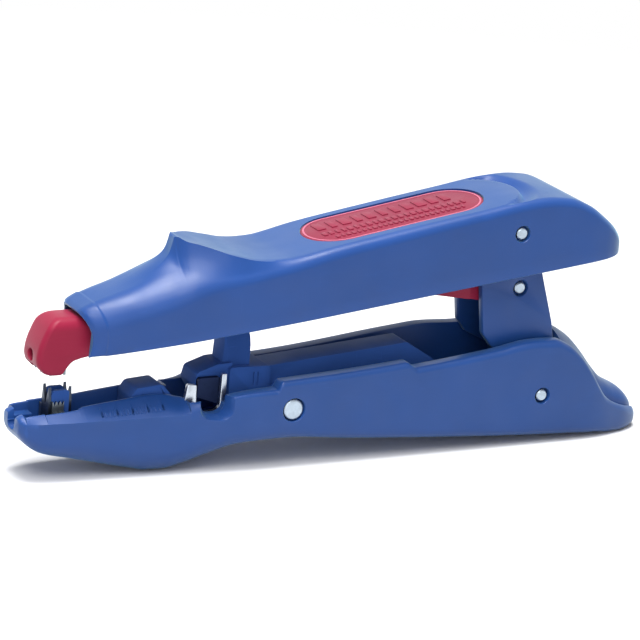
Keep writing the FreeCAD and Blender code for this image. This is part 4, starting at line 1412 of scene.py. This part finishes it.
@dataclass
class JawLever:
    """Red lever: the nose in front, a bar with open windows and an eye at its pivot."""

    nose_half: float = 5.1
    bar_half: float = 6.4
    corner: float = 1.5
    # Height and place of the slanted face, and of the back
    face: tuple[Flat, ...] = ((26.1, -79.7), (26.7, -80.5), (27.3, -81.1), (28.1, -81.9), (29.0, -82.3),
                              (30.4, -82.5), (31.6, -82.4), (41.0, -78.7))
    back: tuple[Flat, ...] = ((26.1, -75.9), (27.2, -75.2), (28.3, -74.4), (29.2, -73.6), (29.8, -72.6),
                              (30.4, -70.0), (31.2, -65.6), (36.8, -62.2), (41.0, -62.0))

    def build(self) -> Piece:
        """Make the lever with its slot and seats.

        Returns:
            The dressed piece.
        """
        front = self.nose()
        bar = [(-67.0, 36.2, 0), (-58.0, 36.4, 0), (-22.0, 39.4, 3), (14.0, 43.0, 3), (22.0, 40.4, 3),
               (34.5, 38.2, 0), (34.5, 47.8, 0), (20.0, 50.4, 6), (-22.0, 47.0, 6), (-50.0, 45.0, 4),
               (-67.0, 41.2, 0)]
        body = side_plate("bar", bar, -self.bar_half, self.bar_half)
        frame_part = side_plate("frame", bar, -8.4, 8.4)
        work_with(frame_part, Joining.KEEP, block("frame_stretch", -56.5, -19.5, -8.4, 8.4, 30, 60))
        neck = [(30.0, 38.9, 0), (38.0, 37.4, 3), (JAW_PIVOT[0], 36.3, 0), (JAW_PIVOT[0], 44.7, 0),
                (38.0, 46.6, 3), (30.0, 47.6, 0)]
        work_with(body, Joining.ADD, frame_part, side_plate("neck", neck, -5.2, 5.2),
                  rod("eye", JAW_PIVOT, [(-5.2, 4.2), (5.2, 4.2)]))
        cutters = [block("window", -54, -22, -6.7, 6.7, 30, 60)]
        cutters += [block("hollow", x0, x1, -4.6, 4.6, 45.0, 60) for x0, x1 in ((-17.0, 3.0), (6.0, 28.0))]
        work_with(body, Joining.CUT, *cutters, pin_bore(JAW_PIVOT, SMALL_PIN))
        soften(body, 0.3)
        return put(pieces_joined("jaw_lever_moulding", [front, body]), "jaw", "jaw_red", "jaw_lever")

    def nose(self) -> Piece:
        """Soft block with a slanted face, a slot for the blades and two cheeks.

        Returns:
            The nose, before it is joined to the bar.
        """
        face, back = Curve(*zip(*self.face)), Curve(*zip(*self.back))
        # Height of each ring, and how far it is drawn in
        levels = [(26.1, 0.7), (26.2, 0.4), (26.4, 0.16)]
        levels += [(z, 0.0) for z in (26.7, 27.3, 27.9, 28.3, 28.6, 29.2, 29.7, 30.2, 30.7, 31.4)]
        levels += [(z, 0.0) for z in spaced(32.0, 0.58, 10)]
        levels += [(37.8, 0.03), (38.3, 0.12), (38.8, 0.3), (39.3, 0.62), (39.7, 1.0), (40.0, 1.45),
                   (40.2, 1.95), (40.3, 2.6)]
        rings = []
        for z, inset in levels:
            x0, x1, half = face(z) + inset, back(z) - 0.3 * inset, self.nose_half - inset
            corners = [(x0, -half, self.corner), (x1, -half, 0.6), (x1, half, 0.6), (x0, half, self.corner)]
            rings.append([(u, v, z) for u, v in rounded(corners, 8)])
        front = loft("jaw_lever_nose", rings, 40.0)
        cutters = [block("slot", -80.3, -70.4, -NOSE_SLOT_HALF, NOSE_SLOT_HALF, 20, 33.2),
                   block("front_gap", -90, -79, -3.1, 3.1, 20, 28.4), self.entry()]
        cutters += [block("seat", -79.0, -74.8, y, y + 1.5, 20, 27.6) for y in (-4.4, 2.9)]
        work_with(front, Joining.CUT, *cutters, smooth_below=40.0)
        return soften(front, 0.22, angle=48.0, smooth_below=44.0)

    def entry(self) -> Piece:
        """Cutter of the wire's round entry in the front face, flared outward."""
        return loft("entry", [[(x, u, v) for u, v in arc((0.0, 30.5), radius, 0, 345, 23)]
                              for x, radius in ((-86.0, 2.6), (-82.9, 1.9), (-82.3, 1.6), (-79.0, 1.6))])


# Mechanism


@dataclass
class CuttingLever:
    """Lever in the trough, in the body's blue plastic painted lighter to make up for the handle's shade: a
    toe that carries the cutter, an arm into the handle and a rear bar.
    """

    half: float = 4.0
    block_half: float = 5.0
    arm_half: float = 3.0

    def build(self) -> Piece:
        """Make the lever with its hub, marks, pin bore and blade seat.

        Returns:
            The dressed piece.
        """
        rear = [(-24.0, 13.2, 0), (-8.0, 10.4, 4), (-6.0, 15.0, 6), (27.2, 19.4, 1.0), (26.8, 22.2, 1.0),
                (18.8, 27.2, 1.2), (-10.0, 24.8, 6), (-20.0, 24.0, 0), (-24.0, 24.0, 0)]
        lever = side_plate("cutting_lever_moulding", rear, -self.half, self.half)
        shoulder = side_plate("shoulder", [(-31.0, 17.4, 1.5), (-27.0, 13.5, 3), (-19.8, 12.5, 3),
                                           (-19.6, 24.3, 1.0), (-31.0, 24.6, 0.8)],
                              -self.block_half, self.block_half)
        hub = rod("hub", LEVER_PIVOT, [(-self.half - 1.0, 4.6), (self.half + 1.0, 4.6)])
        toe = side_plate("toe", [(-30.0, 16.4, 0), (-38.4, 17.4, 1.0), (-40.2, 20.4, 1.2),
                                 (-39.4, 23.6, 1.4), (-34.0, 25.4, 1.6), (-30.0, 25.6, 0)],
                         -self.half, self.half)
        arm = side_plate("arm", [(-24.8, 21.0, 0), (-24.8, 32.0, 10), (-30.6, 43.5, 3.0),
                                 (-33.6, 45.1, 3.0), (-37.6, 41.9, 3.0), (-31.8, 33.0, 8),
                                 (-32.6, 21.0, 0)], -self.arm_half, self.arm_half)
        work_with(lever, Joining.ADD, shoulder, hub, toe, arm)
        cutters = [block("mark", x, x + 0.4, -6, -4.7, 19.5, 23.0) for x in (-24.6, -23.4)]
        cutters.append(pin_bore(LEVER_PIVOT, LARGE_PIN))
        cutters.append(block("blade_seat", -41.0, -32.5, -6.0, -4.0, 10.0, 23.0))
        work_with(lever, Joining.CUT, *cutters)
        return put(soften(lever, 0.25), "cutter", "dark_blue", "cutting_lever")


@dataclass
class LengthStop:
    """Sliding stop in the jaw's channel, with a thumb hump."""

    half: float = 4.0

    def build(self) -> Piece:
        """Make the stop with its two tongues.

        Returns:
            The dressed piece.
        """
        outline = [(-57.0, 12.9, 0), (-45.6, 12.9, 0), (-45.6, 18.0, 1.0), (-48.6, 21.4, 1.6),
                   (-55.4, 20.9, 1.6), (-57.0, 18.6, 1.0)]
        stop = side_plate("length_stop_moulding", outline, -self.half, self.half)
        work_with(stop, Joining.ADD, block("tongue", -57.0, -45.6, -5.1, 5.1, 13.5, 14.7))
        return put(soften(stop, 0.18), "stop", "dark_blue", "length_stop")


@dataclass
class Pins:
    """The bright cross pins, with chamfered ends."""

    sink: float = 0.25
    chamfer: float = 0.3

    def pin(self, node: str, body: str, centre: Flat, radius: float, half: float) -> None:
        """Turn one pin and stamp its radius on the mesh for the lathe rings.

        Args:
            node: CAD node that it stands for.
            body: Body that it moves with.
            centre: Place of its axis.
            radius: Its radius.
            half: Half width of what it goes through.
        """
        end = half - self.sink
        profile = [(-end, 0.12), (-end + 0.03, radius * 0.5), (-end, radius * 0.82),
                   (-end + 0.04, radius - self.chamfer), (-end + self.chamfer, radius)]
        profile += [(-y, r) for y, r in reversed(profile)]
        piece = rod(node + "_turned", centre, profile, 56)
        layer = piece.data.attributes.new("radius", "FLOAT", "POINT")
        for vertex, radius_there in zip(piece.data.vertices, layer.data):
            x, _, z = vertex.co / MM
            radius_there.value = math.hypot(x - DATUM_X - centre[0], z - centre[1])
        put(piece, body, "pin_steel", node)

    def build(self) -> None:
        """Make all four pins."""
        self.pin("handle_pin", "handle", HANDLE_PIVOT, SMALL_PIN, HANDLE_HALF)
        self.pin("jaw_pin", "body", JAW_PIVOT, SMALL_PIN, POST_HALF)
        self.pin("post_pin", "body", POST_FOOT, SMALL_PIN, BODY_HALF)
        self.pin("lever_pin", "body", LEVER_PIVOT, LARGE_PIN, BODY_HALF)


@dataclass
class Inserts:
    """Blades, die, springs, rollers and holder in their CAD shape with worked finishes, and the anvil."""

    finishes: dict[str, str] = field(default_factory=lambda: {
        "front_blade": "blade_steel", "rear_blade": "blade_steel", "upper_blade": "blade_steel",
        "cutter_blade": "black_steel", "crimp_die": "die_steel", "crimp_punches": "die_steel",
        "return_spring": "spring_steel", "jaw_spring": "spring_steel", "lever_rollers": "anvil_steel",
        "roller_pin": "anvil_steel", "blade_holder": "dark_blue"})

    def anvil(self) -> Piece:
        """Ground plate with two horns beside the notch, the rear one thin.

        Returns:
            The dressed piece.
        """
        outline = [(-43.6, 8.4, 0.4), (-32.4, 8.4, 0.4), (-32.6, 23.8, 0.3), (-33.9, 23.8, 0.3),
                   (-34.2, 14.4, 2.0), (-40.5, 14.4, 2.0), (-40.7, 21.5, 0.4), (-43.1, 21.8, 0.5),
                   (-43.8, 17.2, 2.0)]
        plate = soften(side_plate("cutter_anvil_ground", outline, -6.9, -5.6), 0.15)
        return put(plate, "body", "anvil_steel", "cutter_anvil", slot="blade_steel")

    def build(self) -> None:
        """Dress each insert, and make the anvil finer than its CAD shape."""
        for node, finish in self.finishes.items():
            dress(bpy.data.objects[node], finish)
            log.info("%s: CAD shape kept, finish %s", node, finish)
        self.anvil()


# Stage


WHITE = (1.0, 1.0, 1.0, 1.0)


def mix_shaders(tree: bpy.types.NodeTree, share: Socket, first: bpy.types.Node, second: bpy.types.Node,
                output: bpy.types.Node) -> None:
    """Send a mix of two shaders to a tree's output.

    Args:
        tree: Node tree to add to.
        share: Share of the second shader.
        first: First shader.
        second: Second shader.
        output: Output node of the tree.
    """
    mix = tree.nodes.new("ShaderNodeMixShader")
    for socket, source in zip(mix.inputs, (share, first.outputs[0], second.outputs[0])):
        tree.links.new(source, socket)
    tree.links.new(mix.outputs[0], output.inputs["Surface"])


@dataclass
class Studio:
    """Pale floor, soft lights and the camera at the photograph's angle."""

    target: Spot = (-5.294, 0.0, 33.524)
    azimuth: float = 28.0
    height: float = 17.0
    roll: float = 4.42
    view: float = 10.0
    distance: float = 914.85
    room_light: float = 0.22
    # In metres: half side and height of the floor, and where it begins and ends to turn plain white
    floor_reach: float = 2.0
    floor_height: float = -0.0002
    floor_fade: Flat = (0.16, 0.5)

    def back(self) -> Vector:
        """Direction from the target to the camera."""
        turn, rise = math.radians(self.azimuth), math.radians(self.height)
        return Vector((-math.sin(turn) * math.cos(rise), -math.cos(turn) * math.cos(rise), math.sin(rise)))

    def camera(self) -> None:
        """Aim the camera."""
        data = bpy.data.cameras.new("camera")
        data.sensor_width = 36.0
        data.lens = 18.0 / math.tan(math.radians(self.view) / 2)
        data.clip_end = 10.0
        camera = in_scene("camera", data)
        back = self.back()
        turn = back.to_track_quat("Z", "Y").to_matrix().to_4x4()
        tilt = Matrix.Rotation(math.radians(self.roll), 4, "Z")
        spot = (Vector(self.target) + back * self.distance) * MM
        camera.matrix_world = Matrix.Translation(spot) @ turn @ tilt
        bpy.context.scene.camera = camera

    def lamp(self, name: str, spot: Spot, size: float, power: float) -> None:
        """Soft square lamp aimed at the tool, with its place in metres.

        Args:
            name: Name of the lamp.
            spot: Its place in metres.
            size: Length of its side in metres.
            power: Its power in watts.
        """
        data = bpy.data.lights.new(name, "AREA")
        data.shape = "SQUARE"
        data.size = size
        data.energy = power
        lamp = in_scene(name, data)
        away = Vector(spot) - Vector((0.0, 0.0, 0.03))
        lamp.matrix_world = Matrix.Translation(spot) @ away.to_track_quat("Z", "Y").to_matrix().to_4x4()

    def seen(self, tree: bpy.types.NodeTree) -> Socket:
        """Share of rays that come from the camera, a mirror or glass.

        Args:
            tree: Node tree to add to.

        Returns:
            The share, 0 or 1.
        """
        path = tree.nodes.new("ShaderNodeLightPath")
        seen = path.outputs["Is Camera Ray"]
        for other in ("Is Glossy Ray", "Is Transmission Ray"):
            either = tree.nodes.new("ShaderNodeMath")
            either.operation = "MAXIMUM"
            tree.links.new(seen, either.inputs[0])
            tree.links.new(path.outputs[other], either.inputs[1])
            seen = either.outputs[0]
        return seen

    def world(self) -> None:
        """White world that lights the tool softly."""
        world = bpy.data.worlds.new("soft_room")
        world.use_nodes = True
        bpy.context.scene.world = world
        tree = world.node_tree
        lit, white = tree.nodes["Background"], tree.nodes.new("ShaderNodeBackground")
        for node, strength in ((lit, self.room_light), (white, 1.0)):
            node.inputs["Color"].default_value = WHITE
            node.inputs["Strength"].default_value = strength
        mix_shaders(tree, self.seen(tree), lit, white, tree.nodes["World Output"])

    def floor(self) -> None:
        """Pale floor under the tool."""
        mesh = bpy.data.meshes.new("floor")
        reach, height = self.floor_reach, self.floor_height
        mesh.from_pydata([(-reach, -reach, height), (reach, -reach, height), (reach, reach, height),
                          (-reach, reach, height)], [], [(0, 1, 2, 3)])
        tree = Tree("pale_floor")
        tone = tree.blend(tree.noise(tree.place, 4.0), paint(250, 250, 250), paint(255, 255, 255))
        tone = tree.blend(self.seen(tree.material.node_tree), paint(186, 188, 190), tone)
        tree.surface(Base_Color=tone, Roughness=0.9, Specular_IOR_Level=0.1)
        white = tree.add("ShaderNodeEmission", Color=WHITE, Strength=1.0)
        away = tree.add("ShaderNodeVectorMath", Vector=tree.place)
        away.operation = "LENGTH"
        share = tree.combined(tree.ranged(away.outputs["Value"], *self.floor_fade, 0.0, 1.0),
                              self.seen(tree.material.node_tree), "MULTIPLY")
        mix_shaders(tree.material.node_tree, share, tree.shader, white, tree.nodes["Material Output"])
        mesh.materials.append(tree.material)
        in_scene("floor", mesh)

    def build(self) -> None:
        """Set the stage."""
        self.camera()
        self.world()
        self.floor()
        self.lamp("key_light", (-0.48, -0.60, 1.05), 0.7, 8.5)
        self.lamp("top_light", (-0.08, -0.02, 1.25), 0.6, 18.5)
        self.lamp("front_fill", (-0.45, -1.05, 0.36), 0.9, 3.0)
        bpy.context.scene.view_settings.view_transform = "Standard"


def main() -> None:
    """Build every sub-assembly in order."""
    logging.basicConfig(level=logging.INFO, format="%(name)s %(message)s")
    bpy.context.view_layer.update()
    for assembly in (HandleCover(), LabelPlate(), LowerBody(), RearPost(), JawLever(), CuttingLever(),
                     LengthStop(), Pins(), Inserts(), Studio()):
        log.info("building %s", type(assembly).__name__)
        assembly.build()


if __name__ == "__main__":
    main()
